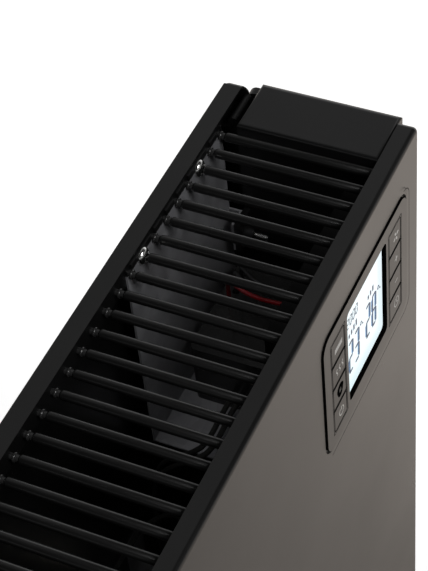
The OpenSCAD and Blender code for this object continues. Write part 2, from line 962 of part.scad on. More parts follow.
// Curved sheet guide and end plates of the blower
module blower_housing() {
    wheel_gap = 1.6;
    guide_r = wheel_d / 2 + 4;
    guide_t = 1;
    y_wall = guide_r + guide_t;
    z_low = floor_z + floor_t;
    color([0.4, 0.4, 0.4]) {
        translate([plate_left_x + end_plate_t, 0, blower_z])
            rotate([90, 0, 90])
                linear_extrude(plate_right_x - plate_left_x - end_plate_t) {
                    difference() {
                        circle(guide_r + guide_t);
                        circle(guide_r);
                        translate([-100, -100])
                            square([100, 200]);
                        translate([-1, -100])
                            square([100, 100 - guide_r * 0.5]);
                    }
                    translate([-guide_r - guide_t, -4])
                        square([guide_t, guide_r + 14]);
                    translate([-guide_r - guide_t, -5])
                        square([guide_r + guide_t - wheel_d / 2 - wheel_gap, guide_t]);
                }
        for (x = [plate_left_x, plate_right_x])
            difference() {
                block([x, -y_wall - 2, z_low], [x + end_plate_t, y_wall + 2, blower_z + guide_r + 12]);
                rod_x(0, blower_z, bush_d + 0.3, x - 1, x + end_plate_t + 1);
            }
    }
}

module blower_wheel() {
    color([0.5, 0.5, 0.51]) {
        for (x = [0, (wheel_len - disc_t) / 2, wheel_len - disc_t])
            difference() {
                rod_x(0, blower_z, wheel_d, blower_x0 + x, blower_x0 + x + disc_t);
                rod_x(0, blower_z, shaft_d, blower_x0 + x - 1, blower_x0 + x + disc_t + 1);
            }
        translate([blower_x0 + touch, 0, blower_z])
            rotate([90, 0, 90])
                linear_extrude(wheel_len - 2 * touch)
                    for (i = [0 : blade_count - 1])
                        rotate(i * 360 / blade_count)
                            translate([wheel_d / 2 - 6, 0])
                                rotate(22)
                                    square([5.6, 0.8]);
    }
}

module blower_shaft() {
    color([0.6, 0.6, 0.6])
        rod_x(0, blower_z, shaft_d, plate_left_x - 4, motor_x0 + motor_len + 6);
}

// Rubber mounted bush in the left end plate
module blower_bush() {
    color([0.05, 0.05, 0.05])
        difference() {
            union() {
                rod_x(0, blower_z, bush_d, plate_left_x - 1, plate_left_x + end_plate_t + 1);
                rod_x(0, blower_z, 14, plate_left_x - 3, plate_left_x - touch);
            }
            rod_x(0, blower_z, shaft_d + 2 * shaft_fit, plate_left_x - 5, plate_left_x + 5);
        }
}

module blower_motor() {
    z = blower_z;
    color([0.35, 0.35, 0.36])
        difference() {
            union() {
                block([motor_x0 + 6, -motor_w / 2, z - 17], [motor_x0 + 20, motor_w / 2, z + motor_h - 17]);
                rod_x(0, z, 30, motor_x0 + 2, motor_x0 + 6);
                rod_x(0, z, 30, motor_x0 + 20, motor_x0 + 26);
                rod_x(0, z, 12, motor_x0 + 26, motor_x0 + motor_len);
                for (s = [-1, 1])
                    rod_x(s * 20, z - 12, 4, motor_x0, motor_x0 + 22);
                for (s = [-1, 1])
                    rod_x(s * 20, z + 12, 4, motor_x0, motor_x0 + 22);
            }
            rod_x(0, z, shaft_d + 2 * shaft_fit, motor_x0 - 1, motor_x0 + motor_len + 1);
            block([motor_x0 + 5, -10, z + 17], [motor_x0 + 21, 10, coil_seat_z]);
        }
}

module motor_coil() {
    color([0.5, 0.22, 0.08])
        difference() {
            block([motor_x0 + 2, -10, coil_seat_z - 1.5], [motor_x0 + 24, 10, coil_top]);
            block(
                [motor_x0 + 5.9, -11, coil_seat_z - touch],
                [motor_x0 + 20.1, 11, coil_top - 1.5 + touch]);
        }
}

// Slotted floor plate on the panels' lower edges
module intake_grille() {
    half = side_in_x - fit;
    count = floor((2 * half - 24) / slot_pitch);
    x0 = -(count - 1) / 2 * slot_pitch;
    depth = rear_y - bend_r - fit;
    color([0.03, 0.03, 0.032])
        difference() {
            block([-half, -depth, floor_z], [half, depth, floor_z + floor_t]);
            for (i = [0 : count - 1])
                translate([x0 + i * slot_pitch, 0, floor_z - 1]) {
                    block([-slot_w / 2, -slot_len / 2, 0], [slot_w / 2, slot_len / 2, floor_t + 2]);
                    for (s = [-1, 1])
                        translate([0, s * slot_len / 2, 0])
                            cylinder(d = slot_w, h = floor_t + 2);
                }
            for (x = [-foot_x, foot_x])
                for (y = [-foot_screw_y, foot_screw_y])
                    translate([x, y, floor_z - 1])
                        cylinder(d = 4.1, h = floor_t + 2);
        }
}

module terminal_block() {
    y1 = rear_y - sheet_t;
    color([0.8, 0.78, 0.7])
        difference() {
            block([terminal_x - 17, y1 - 14, terminal_z - 9], [terminal_x + 17, y1, terminal_z + 9]);
            for (i = [-1 : 1]) {
                translate([terminal_x + i * 10, y1 - 7, terminal_z - 10])
                    cylinder(d = 4, h = 20);
                for (s = [-1, 1])
                    rod_y(terminal_x + i * 10, terminal_z + s * 5, 4, y1 - 15, y1 - 7);
            }
        }
}

module earth_screw() {
    y1 = rear_y - sheet_t;
    color([0.75, 0.7, 0.5]) {
        rod_y(earth_x, terminal_z, 4, y1 - 9, y1);
        rod_y(earth_x, terminal_z, 9, y1 - 1.2, y1);
        block([earth_x - 2.4, y1 - 1.2, terminal_z], [earth_x + 2.4, y1, terminal_z + 12]);
        translate([earth_x, y1 - 3, terminal_z])
            rotate([90, 0, 0])
                cylinder(d = 8, h = 3.2, $fn = 6);
        rod_y(earth_x, terminal_z, 7.5, y1 - 3, y1 - 1.2);
    }
}

// Gland in the rear panel: a collar outside, a threaded sleeve through the sheet
module cord_gland() {
    color([0.03, 0.03, 0.03])
        difference() {
            union() {
                rod_y(gland_x, gland_z, gland_d - 0.2, rear_y - 12, rear_y + touch);
                rod_y(gland_x, gland_z, 22, rear_y, rear_y + 4);
                rod_y(gland_x, gland_z, 16, rear_y + 4, rear_y + 10);
            }
            rod_y(gland_x, gland_z, cord_d, rear_y - 13, rear_y + 11);
        }
}

module gland_nut() {
    color([0.03, 0.03, 0.03])
        translate([gland_x, rear_y - sheet_t, gland_z])
            rotate([90, 0, 0])
                difference() {
                    cylinder(d = 24, h = 5, $fn = 6);
                    translate([0, 0, -1])
                        cylinder(d = gland_d, h = 7);
                }
}

// One foot seen from the side, extruded across its width
module foot(x) {
    color([0.03, 0.03, 0.032])
        difference() {
            translate([x - foot_w / 2, 0, 0])
                rotate([90, 0, 90])
                    linear_extrude(foot_w)
                        foot_outline();
            for (y = [-foot_screw_y, foot_screw_y])
                translate([x, y, -1]) {
                    cylinder(d = 4.4, h = foot_h + 2);
                    cylinder(d = 9, h = foot_h - 9);
                }
            for (s = [-1, 1])
                translate([x, s * (foot_len / 2 - 16), 0])
                    cylinder(d = pad_d + 0.2, h = pad_t);
        }
}

module foot_outline() {
    toe = 12;
    z0 = pad_t - 1.5;
    difference() {
        union() {
            polygon([
                [-foot_len / 2 + 6, z0], [foot_len / 2 - 6, z0],
                [foot_len / 2, z0 + 6], [foot_len / 2, z0 + toe - 4],
                [foot_len / 2 - 4, z0 + toe], [body_d / 2, foot_h],
                [-body_d / 2, foot_h], [-foot_len / 2 + 4, z0 + toe],
                [-foot_len / 2, z0 + toe - 4], [-foot_len / 2, z0 + 6]
            ]);
        }
        translate([0, z0 - foot_len * 0.5])
            circle(r = foot_len * 0.5 + 8, $fn = 96);
    }
}

module foot_left() {
    foot(-foot_x);
}

module foot_right() {
    foot(foot_x);
}

module foot_pads() {
    color([0.02, 0.02, 0.02])
        for (x = [-foot_x, foot_x])
            for (s = [-1, 1])
                translate([x, s * (foot_len / 2 - 16), 0])
                    cylinder(d = pad_d, h = pad_t);
}

// Points of a smooth curve through a route, with steps points a stretch
function near(p, i) = p[max(0, min(len(p) - 1, i))];
function curve_point(p, i, t) =
    0.5 * (2 * near(p, i) + (near(p, i + 1) - near(p, i - 1)) * t
    + (2 * near(p, i - 1) - 5 * near(p, i) + 4 * near(p, i + 1) - near(p, i + 2)) * t * t
    + (3 * near(p, i) - near(p, i - 1) - 3 * near(p, i + 1) + near(p, i + 2)) * t * t * t);
function smooth_route(p, steps) = concat(
    [for (i = [0 : len(p) - 2]) for (s = [0 : steps - 1]) curve_point(p, i, s / steps)],
    [p[len(p) - 1]]);
function unit(v) = v / norm(v);
function across(v) = unit(cross(v, abs(v[0]) < 0.9 ? [1, 0, 0] : [0, 1, 0]));
function carried(t, n, i) = i >= len(t) ? n :
    carried(t, concat(n, [unit(n[i - 1] - (n[i - 1] * t[i]) * t[i])]), i + 1);

// Lead swept along a route
module lead(route, d = lead_d, steps = 4, sides = 8) {
    q = smooth_route(route, steps);
    last = len(q) - 1;
    t = [for (i = [0 : last]) unit(near(q, i + 1) - near(q, i - 1))];
    n = carried(t, [across(t[0])], 1);
    ring = [for (k = [0 : sides - 1]) [cos(k * 360 / sides), sin(k * 360 / sides)]];
    points = [for (i = [0 : last]) for (c = ring)
        q[i] + d / 2 * (c[0] * n[i] + c[1] * cross(t[i], n[i]))];
    walls = [for (i = [0 : last - 1]) for (k = [0 : sides - 1])
        let (m = (k + 1) % sides, a = i * sides, b = a + sides)
        each [[a + k, b + k, b + m], [a + k, b + m, a + m]]];
    caps = [
        [for (k = [0 : sides - 1]) k],
        [for (k = [0 : sides - 1]) last * sides + sides - 1 - k]
    ];
    polyhedron(points, concat(walls, caps), convexity = 6);
}

plug_y = board_y + board_t + plug_t;
function to_plug(k) = [
    [top_lead_x[k], top_lead_y, power_z1 - 2],
    [top_lead_x[k], top_lead_y, power_z1 + 10 - 2 * k],
    [top_lead_x[k] - 4, top_lead_y - 3, power_z1 + 21 - 4 * k],
    [top_lead_x[k] - 12, top_lead_y - 10 - k, power_z1 + 27 - 5 * k],
    [top_lead_x[k] - 16, top_lead_y - 21 - 2 * k, power_z1 + 28 - 5 * k],
    [top_lead_x[k] - 16, top_lead_y - 32 - 2 * k, power_z1 + 28 - 4 * k],
    [plug_x - 5 + 5 * k, plug_y + 8, plug_z - 0.3 * k],
    [plug_x - 5 + 5 * k, plug_y + lead_gap, plug_z]
];

module red_lead() {
    color([0.5, 0.01, 0.02])
        lead(to_plug(0), signal_lead_d);
}

module black_leads() {
    color([0.02, 0.02, 0.02]) {
        lead(to_plug(1), signal_lead_d);
        lead(to_plug(2), signal_lead_d);
    }
}

// Mains leads: from the power unit through the shelf's hole to the terminals
terminal_y = rear_y - sheet_t - 7;
terminal_top = terminal_z + 9;
function to_terminal(k) = [
    [power_x0 + 2, lead_out_y[2 + k], lead_out_z],
    [power_x0 - 7, lead_out_y[2 + k], lead_out_z],
    [hatch_x + 2.5 - 5 * k, hatch_y - 0.5 + k, shelf_z + 6 + 3 * k],
    [hatch_x + 2.5 - 5 * k, hatch_y, shelf_z - 4],
    [hatch_x + 3 - 8 * k, hatch_y + 20, shelf_z - 38],
    [terminal_x - 10 * k, terminal_y - 2, shelf_z - 88],
    [terminal_x - 10 * k, terminal_y, shelf_z - 148],
    [terminal_x - 10 * k, terminal_y, terminal_top - 5]
];

module mains_leads() {
    color([0.02, 0.02, 0.02]) {
        lead(to_terminal(0));
        lead(to_terminal(1));
    }
}

// Element leads: one to the near end, one through the cut-out to the far end
cutout_x = element_x1 + 7.4 + carrier_t;
cutout_z = element_z + 18;
near_pin_x = element_x1 + 22;
far_pin_x = element_x0 - 22;

module element_leads() {
    color([0.05, 0.05, 0.05]) {
        lead([
            [power_x0 + 2, lead_out_y[0], lead_out_z],
            [power_x0 - 10, lead_out_y[0], lead_out_z],
            [shield_x0 - 5, lead_out_y[0] + 1, shelf_z + 8],
            [shield_x0 - 6, lead_out_y[0] + 2, shelf_z - 20],
            [near_pin_x + 16, 0, element_z + 34],
            [near_pin_x + 17, 0, element_z + 12],
            [near_pin_x + 10, 0, element_z + 1],
            [near_pin_x + lead_gap, 0, element_z]
        ]);
        lead([
            [power_x0 + 2, lead_out_y[1], lead_out_z],
            [power_x0 - 10, lead_out_y[1], lead_out_z],
            [shield_x0 - 5, lead_out_y[1] + 3, shelf_z + 7],
            [shield_x0 - 5, 12, shelf_z - 24],
            [cutout_x + 27, 15, cutout_z + 16],
            [cutout_x + 24, 16, cutout_z + 2],
            [cutout_x + 17 + lead_gap, 16, cutout_z]
        ]);
        lead([
            [cutout_x + 17 + lead_gap, 24, cutout_z],
            [cutout_x + 23, 24.5, cutout_z + 3],
            [cutout_x + 23, 31, cutout_z + 14],
            [cutout_x + 8, 37, element_z + 40],
            [cutout_x - 20, 38.5, element_z + 42],
            [0, 38.5, element_z + 42],
            [element_x0 + 20, 38.5, element_z + 42],
            [far_pin_x + 4, 37, element_z + 38],
            [far_pin_x - 15, 30, element_z + 24],
            [far_pin_x - 19, 15, element_z + 10],
            [far_pin_x - 10, 2, element_z + 1],
            [far_pin_x - lead_gap, 0, element_z]
        ], steps = 3);
    }
}

module motor_leads() {
    color([0.05, 0.05, 0.05])
        for (k = [0, 1])
            lead([
                [power_x0 + 2, lead_out_y[4 + k], lead_out_z],
                [power_x0 - 11, lead_out_y[4 + k] + 0.5, lead_out_z],
                [shield_x0 - 5 + 2 * k, lead_out_y[4 + k] + 2, shelf_z + 10],
                [shield_x0 - 6 + 5 * k, 36 + 2 * k, shelf_z - 26],
                [shield_x0 - 6 + 5 * k, 38, element_z - 40],
                [shield_x0 - 28 + 6 * k, 35, element_z - 80 - 3 * k],
                [motor_x0 + 60, 24 + 5 * k, coil_top + 24 - 8 * k],
                [motor_x0 + 26 - 12 * k, 6, coil_top + 16 - 4 * k],
                [motor_x0 + 17 - 10 * k, 0, coil_top + 8 - 2 * k],
                [motor_x0 + 17 - 10 * k, 0, coil_top + lead_gap]
            ]);
}

module earth_lead() {
    y = rear_y - sheet_t - 2.4;
    color([0.3, 0.42, 0.04])
        lead([
            [terminal_x + 10, terminal_y, terminal_top - 5],
            [terminal_x + 10, terminal_y, terminal_top + 6],
            [terminal_x + 6, terminal_y - 8, terminal_top + 14],
            [terminal_x - 8, terminal_y - 10, terminal_top + 17],
            [earth_x + 10, terminal_y - 3, terminal_z + 28],
            [earth_x, y, terminal_z + 20],
            [earth_x, y, terminal_z + 12 + lead_gap]
        ]);
}

module foot_screws() {
    color([0.6, 0.6, 0.58])
        for (x = [-foot_x, foot_x])
            for (y = [-foot_screw_y, foot_screw_y])
                translate([x, y, 0]) {
                    translate([0, 0, foot_h - 13])
                        cylinder(d = 8, h = 3);
                    translate([0, 0, foot_h - 10])
                        cylinder(d = 4, h = 15);
                }
}

front_panel();
rear_panel();
side_panel_left();
side_panel_right();
outlet_bars();
bar_pins();
front_bar_rail();
side_screws();
electronics_shield();
shield_screws();
side_wall_screw();
control_fascia();
display_panel();
display_light();
control_board();
key_switches();
board_screws();
lead_plug();
tilt_switch();
controller_cover();
cover_nuts();
key_heat();
key_mode();
key_lock();
key_power();
key_fan();
key_plus();
key_minus();
key_timer();
power_unit();
power_unit_lid();
heating_element();
element_sheath();
element_insulators();
element_carriers();
thermal_cutout();
blower_housing();
blower_wheel();
blower_shaft();
blower_bush();
blower_motor();
motor_coil();
intake_grille();
terminal_block();
earth_screw();
cord_gland();
gland_nut();
foot_left();
foot_right();
foot_pads();
foot_screws();
red_lead();
black_leads();
mains_leads();
element_leads();
motor_leads();
earth_lead();
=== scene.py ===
import math

import bmesh
import bpy
from mathutils import Matrix, Vector


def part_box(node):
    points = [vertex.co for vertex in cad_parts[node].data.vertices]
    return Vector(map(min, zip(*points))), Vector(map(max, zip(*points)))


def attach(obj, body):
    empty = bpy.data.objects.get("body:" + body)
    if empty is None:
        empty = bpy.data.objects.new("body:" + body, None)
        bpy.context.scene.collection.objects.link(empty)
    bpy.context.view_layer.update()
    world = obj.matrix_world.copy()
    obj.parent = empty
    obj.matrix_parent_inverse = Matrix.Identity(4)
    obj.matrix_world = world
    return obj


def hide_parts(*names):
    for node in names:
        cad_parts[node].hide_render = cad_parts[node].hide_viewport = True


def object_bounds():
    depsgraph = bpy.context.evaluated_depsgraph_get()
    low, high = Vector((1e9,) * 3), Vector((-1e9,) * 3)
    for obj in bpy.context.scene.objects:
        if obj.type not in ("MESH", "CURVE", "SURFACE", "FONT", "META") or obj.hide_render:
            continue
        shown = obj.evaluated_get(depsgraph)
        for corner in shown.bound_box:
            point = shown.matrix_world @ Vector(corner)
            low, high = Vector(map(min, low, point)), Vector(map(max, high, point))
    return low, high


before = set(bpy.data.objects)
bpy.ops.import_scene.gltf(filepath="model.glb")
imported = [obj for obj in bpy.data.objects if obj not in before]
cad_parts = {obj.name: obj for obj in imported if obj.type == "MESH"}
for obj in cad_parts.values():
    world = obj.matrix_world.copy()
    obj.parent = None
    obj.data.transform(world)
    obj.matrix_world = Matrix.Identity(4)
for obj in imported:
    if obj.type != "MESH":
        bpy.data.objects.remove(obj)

bl_info = {
    "name": "Slim panel heater",
    "version": (1, 0, 0),
    "blender": (4, 5, 0),
    "location": "3D View > Sidebar > Heater",
    "description": "Dresses a slim panel heater with its paint, outlet bars, control panel and leads",
    "category": "Object",
}

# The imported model's own box, and the boxes that the looks are worked out from
CASE_LOW, CASE_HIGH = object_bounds()
BARS_LOW, BARS_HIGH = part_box("outlet_bars")
DISPLAY_LOW, DISPLAY_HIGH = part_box("display_panel")
WHEEL_LOW, WHEEL_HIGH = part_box("blower_wheel")

# Left column of keys, then the right one, both from the top
LEFT_KEYS = ("heat", "mode", "lock", "power")
RIGHT_KEYS = ("fan", "plus", "minus", "timer")

# A millimetre, and the distance within which a CAD mesh's points are one
MM = 0.001
SAME_POINT = 0.000002
# Thickness of a printed mark
PRINT = 0.00002
# Rear panel: bend radius, depth of its turned edge and the round of its inner fold
REAR_BEND = 0.0023
REAR_EDGE = 0.0086
FOLD_ROUND = 0.0014
# How far a point may lie from the bend's surface and the fold's line and still be on them
ON_BEND = 0.00003
ON_FOLD = 0.0001
# Height above which the shield's edge is blackened: painted shade under the rear panel's turned edge
SHIELD_SHADE_TOP = 0.4352
# Corner radius of the control panel, in millimetres
PANEL_ROUND = 7.0


# Property groups: the sizes and colours that a user would change

def colour_field(name, description, default):
    """A colour that the user can set."""
    return bpy.props.FloatVectorProperty(
        name=name, description=description, subtype="COLOR", size=3, min=0.0, max=1.0, default=default)


def length_field(name, description, default):
    """A small length that the user can set."""
    return bpy.props.FloatProperty(
        name=name, description=description, unit="LENGTH", min=0.00005, max=0.02, default=default)


def whole_field(name, description, low, high, default):
    """A whole number that the user can set."""
    return bpy.props.IntProperty(name=name, description=description, min=low, max=high, default=default)


class CaseLook(bpy.types.PropertyGroup):
    paint: colour_field(
        "Paint colour", "Colour of the satin paint on the pressed panels", (0.0036, 0.0036, 0.0036))
    moulding: colour_field(
        "Moulding colour", "Colour of the moulded side panels and feet", (0.0032, 0.0032, 0.0033))
    softness: length_field("Edge softness", "Width of the panels' softened edges", 0.00022)


class OutletLook(bpy.types.PropertyGroup):
    count: whole_field("Bars", "Number of bars across the outlet", 2, 200, 58)
    pitch: length_field("Pitch", "Distance between two bars", 0.0109)
    shoulder: length_field("Shoulder", "Radius of the shoulder at a bar's rear end", 0.0012)
    pin: length_field("Pin", "Diameter of the pin behind a bar", 0.003)
    bead: length_field("Weld bead", "Diameter of the weld bead round a pin", 0.0043)


class ControlLook(bpy.types.PropertyGroup):
    moulding: colour_field(
        "Panel colour", "Colour of the control panel and its keys", (0.0085, 0.0082, 0.008))
    marks: colour_field("Mark colour", "Colour of the marks printed on the keys", (0.56, 0.55, 0.53))
    backlight: colour_field("Back light", "Colour of the display's back light", (0.86, 0.95, 1.0))
    segments: colour_field("Segment colour", "Colour of the display's figures", (0.003, 0.038, 0.125))
    # Painted shadow of the tall figures on the back light, wider and lighter than the figures
    shade: colour_field(
        "Segment shade", "Colour of the wider shade behind the tall figures", (0.03, 0.23, 0.52))
    room: whole_field("Left figure", "Figure at the left of the display", 0, 99, 23)
    wanted: whole_field("Right figure", "Figure at the right of the display", 0, 99, 28)
    load: whole_field("Upper figure", "Figure along the top of the display", 0, 9999, 2000)


class StudioLook(bpy.types.PropertyGroup):
    eye: bpy.props.FloatVectorProperty(
        name="Camera place", description="Where the camera stands",
        subtype="TRANSLATION", size=3, default=(-0.19159, -0.23674, 0.95527))
    turn: bpy.props.FloatVectorProperty(
        name="Camera turn", description="How the camera is turned",
        subtype="EULER", size=3,
        default=(math.radians(42.818), math.radians(3.966), math.radians(-66.097)))
    lens: bpy.props.FloatProperty(
        name="Focal length", description="Focal length in millimetres on a 36 mm frame",
        min=20.0, max=300.0, default=112.5)
    shift: bpy.props.FloatVectorProperty(
        name="Shift", description="Camera shift that the photograph's framing needs",
        size=2, default=(-0.0468, -0.0088))
    key_power: bpy.props.FloatProperty(
        name="Key light", description="Power of the soft light before the front",
        min=0.0, default=34.0)
    top_power: bpy.props.FloatProperty(
        name="Top light", description="Power of the soft light overhead",
        min=0.0, default=26.0)
    sky: bpy.props.FloatProperty(
        name="Room light", description="Brightness of the room light on matt surfaces",
        min=0.0, max=2.0, default=0.14)


# Mesh helpers

def linked(name, data):
    """A new object in the scene."""
    made = bpy.data.objects.new(name, data)
    bpy.context.scene.collection.objects.link(made)
    return made


def riding(piece, body, slot):
    """A piece put on its body. Its slot is not used."""
    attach(piece, body)
    return piece


def finished_mesh(work, name, material=None):
    """Turns a bmesh into a smooth mesh with one material."""
    mesh = bpy.data.meshes.new(name)
    work.to_mesh(mesh)
    work.free()
    mesh.shade_smooth()
    if material is not None:
        mesh.materials.append(material)
    return mesh


def node_mesh(node):
    """A bmesh of a CAD node with its double points merged."""
    work = bmesh.new()
    work.from_mesh(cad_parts[node].data)
    bmesh.ops.remove_doubles(work, verts=work.verts, dist=SAME_POINT)
    return work


def settled(piece):
    """Makes a piece's modifiers part of its mesh."""
    bpy.context.view_layer.update()
    graph = bpy.context.evaluated_depsgraph_get()
    mesh = bpy.data.meshes.new_from_object(piece.evaluated_get(graph), depsgraph=graph)
    piece.modifiers.clear()
    piece.data = mesh


def turned_to(axis):
    """The turn that brings the Z axis to another one."""
    return Vector((0.0, 0.0, 1.0)).rotation_difference(Vector(axis)).to_matrix().to_4x4()


def mark_sharp(work, turn):
    """Marks the edges that turn by more than an angle in degrees."""
    for edge in work.edges:
        if len(edge.link_faces) == 2:
            edge.smooth = edge.calc_face_angle(0.0) < math.radians(turn)


def softened(work, edges, width, segments):
    """Bevels edges and gives the new faces."""
    return bmesh.ops.bevel(
        work, geom=edges, offset=width, offset_type="OFFSET", segments=segments,
        profile=0.5, affect="EDGES", clamp_overlap=True)["faces"]


def crisp_rear_edge(work):
    """Draws the rear panel's outer bend out to a crisp edge and rounds its inner fold."""
    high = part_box("rear_panel")[1]
    middle_y, middle_z = high.y - REAR_BEND, high.z - REAR_BEND
    for vert in work.verts:
        y, z = vert.co.y - middle_y, vert.co.z - middle_z
        # Points of the flat faces, and those where the bend runs out into them, stay
        if min(y, z) < SAME_POINT / 2 or abs(math.hypot(y, z) - REAR_BEND) > ON_BEND:
            continue
        if y < z:
            vert.co.y, vert.co.z = middle_y + REAR_BEND * y / z, high.z
        else:
            vert.co.y, vert.co.z = high.y, middle_z + REAR_BEND * z / y
    fold_y = high.y - REAR_EDGE
    fold = [e for e in work.edges if all(
        max(abs(v.co.y - fold_y), abs(v.co.z - high.z)) < ON_FOLD for v in e.verts)]
    softened(work, fold, FOLD_ROUND, 5)


def dressed(node, material, slot, soft=0.0, body="case", shape=None):
    """A merged copy of a CAD node with softened, marked edges, that stands for it."""
    work = node_mesh(node)
    edge_mark = work.loops.layers.float.new("edge")
    bmesh.ops.dissolve_limit(
        work, angle_limit=math.radians(0.4), verts=work.verts, edges=work.edges,
        use_dissolve_boundaries=False, delimit=set())
    if shape:
        shape(work)
    if soft > 0.0:
        corners = [e for e in work.edges
                   if len(e.link_faces) == 2 and e.calc_face_angle(0.0) > math.radians(40.0)]
        for face in softened(work, corners, soft, 2):
            for corner in face.loops:
                corner[edge_mark] = 1.0
    mark_sharp(work, 50.0)
    piece = riding(linked("fine_" + node, finished_mesh(work, "fine_" + node, material)), body, slot)
    shading = piece.modifiers.new("Even shading", "WEIGHTED_NORMAL")
    shading.mode = "FACE_AREA"
    shading.keep_sharp = True
    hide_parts(node)
    return piece


def revolved(name, profile, steps, axis):
    """Turns a profile of (along, radius) points about an axis through the origin."""
    work = bmesh.new()
    rings = []
    for along, radius in profile:
        if radius < 1e-7:
            rings.append([work.verts.new((0.0, 0.0, along))])
            continue
        angles = [2 * math.pi * k / steps for k in range(steps)]
        rings.append([work.verts.new((radius * math.cos(a), radius * math.sin(a), along)) for a in angles])
    for lower, upper in zip(rings, rings[1:]):
        for k in range(steps):
            m = (k + 1) % steps
            if len(lower) == 1:
                work.faces.new((lower[0], upper[m], upper[k]))
            elif len(upper) == 1:
                work.faces.new((lower[k], lower[m], upper[0]))
            else:
                work.faces.new((lower[k], lower[m], upper[m], upper[k]))
    bmesh.ops.recalc_face_normals(work, faces=work.faces)
    bmesh.ops.transform(work, matrix=turned_to(axis), verts=work.verts)
    mark_sharp(work, 45.0)
    return finished_mesh(work, name)


def arc_points(x, z, radius, start, stop, steps=16):
    """Points along an arc, angles in degrees from the first axis."""
    turns = [math.radians(start + (stop - start) * k / steps) for k in range(steps + 1)]
    return [(x + radius * math.cos(a), z + radius * math.sin(a)) for a in turns]


def flat_plates(name, outlines, front, material, slot, body="case"):
    """Thin printed plates from outlines in millimetres across the front, as one piece."""
    work = bmesh.new()
    for outline in outlines:
        face = work.faces.new([work.verts.new((x * MM, front, z * MM)) for x, z in outline])
        face.normal_update()
        if face.normal.y > 0.0:
            face.normal_flip()
        made = bmesh.ops.extrude_face_region(work, geom=[face])
        backs = [v for v in made["geom"] if isinstance(v, bmesh.types.BMVert)]
        bmesh.ops.translate(work, vec=(0.0, PRINT, 0.0), verts=backs)
    bmesh.ops.recalc_face_normals(work, faces=work.faces)
    for face in work.faces:
        face.smooth = False
    mark_sharp(work, 30.0)
    return riding(linked(name, finished_mesh(work, name, material)), body, slot)


# Outlines of marks and figures, in millimetres about a middle

def rectangle(x, z, wide, tall):
    """A rectangle about a middle."""
    return [(x - wide / 2, z - tall / 2), (x + wide / 2, z - tall / 2),
            (x + wide / 2, z + tall / 2), (x - wide / 2, z + tall / 2)]


def frame_bars(x, z, wide, tall, thick):
    """Four bars along a rectangle's outline."""
    bars = []
    for side in (-0.5, 0.5):
        bars.append(rectangle(x, z + side * tall, wide, thick))
        bars.append(rectangle(x + side * wide, z, thick, tall - thick))
    return bars


def stroke(points, width):
    """Outline of a line of some width along points."""
    left, right = [], []
    for i, (x, z) in enumerate(points):
        ax, az = points[max(0, i - 1)]
        bx, bz = points[min(len(points) - 1, i + 1)]
        length = math.hypot(bx - ax, bz - az)
        nx, nz = -(bz - az) / length * width / 2, (bx - ax) / length * width / 2
        left.append((x + nx, z + nz))
        right.append((x - nx, z - nz))
    return left + right[::-1]


def ring(x, z, radius, width):
    """A closed ring as two half strokes."""
    return [stroke(arc_points(x, z, radius, a, a + 180.0), width) for a in (0.0, 180.0)]


def moved(outlines, x, z):
    """Outlines moved to their place."""
    return [[(px + x, pz + z) for px, pz in outline] for outline in outlines]


SEGMENTS = {
    0: "abcdef", 1: "bc", 2: "abged", 3: "abgcd", 4: "fgbc",
    5: "afgcd", 6: "afgedc", 7: "abc", 8: "abcdefg", 9: "abcdfg",
}


def figure(digit, width, height, thick, slant, parts):
    """Outlines of some segments of a figure whose lower left corner is the origin."""
    half, gap = thick / 2, thick * 0.09
    mid = height / 2

    def across(z):
        return [(half + gap, z), (thick + gap, z + half), (width - thick - gap, z + half),
                (width - half - gap, z), (width - thick - gap, z - half), (thick + gap, z - half)]

    def upright(x, low, high):
        return [(x, low + gap), (x + half, low + half + gap), (x + half, high - half - gap),
                (x, high - gap), (x - half, high - half - gap), (x - half, low + half + gap)]

    forms = {
        "a": across(height - half), "g": across(mid), "d": across(half),
        "f": upright(half, mid, height - half), "b": upright(width - half, mid, height - half),
        "e": upright(half, half, mid), "c": upright(width - half, half, mid),
    }
    return [[(x + z * slant, z) for x, z in forms[s]] for s in SEGMENTS[digit] if s in parts]


def number(value, digits, x, z, width, height, thick, step, slant=0.1, parts="abcdefg"):
    """Outlines of a row of figures from the lower left corner at x, z."""
    outlines = []
    for i, letter in enumerate(str(value).zfill(digits)):
        outlines += moved(figure(int(letter), width, height, thick, slant, parts), x + i * step, z)
    return outlines


# Helpers for node trees

def feed(tree, node, inputs):
    """Links sockets to a node's inputs, or sets plain values on them."""
    for label, value in inputs.items():
        if isinstance(value, bpy.types.NodeSocket):
            tree.links.new(value, node.inputs[label])
        else:
            node.inputs[label].default_value = value


def added(tree, kind, inputs=None, **settings):
    """A new node with its settings and its inputs."""
    node = tree.nodes.new(kind)
    for name, value in settings.items():
        setattr(node, name, value)
    feed(tree, node, inputs or {})
    return node


def math_node(tree, operation, a, b):
    """A math node fed by sockets or numbers."""
    return added(tree, "ShaderNodeMath", {0: a, 1: b}, operation=operation).outputs["Value"]


def times(tree, a, b):
    """The product of two sockets or numbers."""
    return math_node(tree, "MULTIPLY", a, b)


def plus(tree, a, b):
    """The sum of two sockets or numbers."""
    return math_node(tree, "ADD", a, b)


# Geometry node trees for what repeats

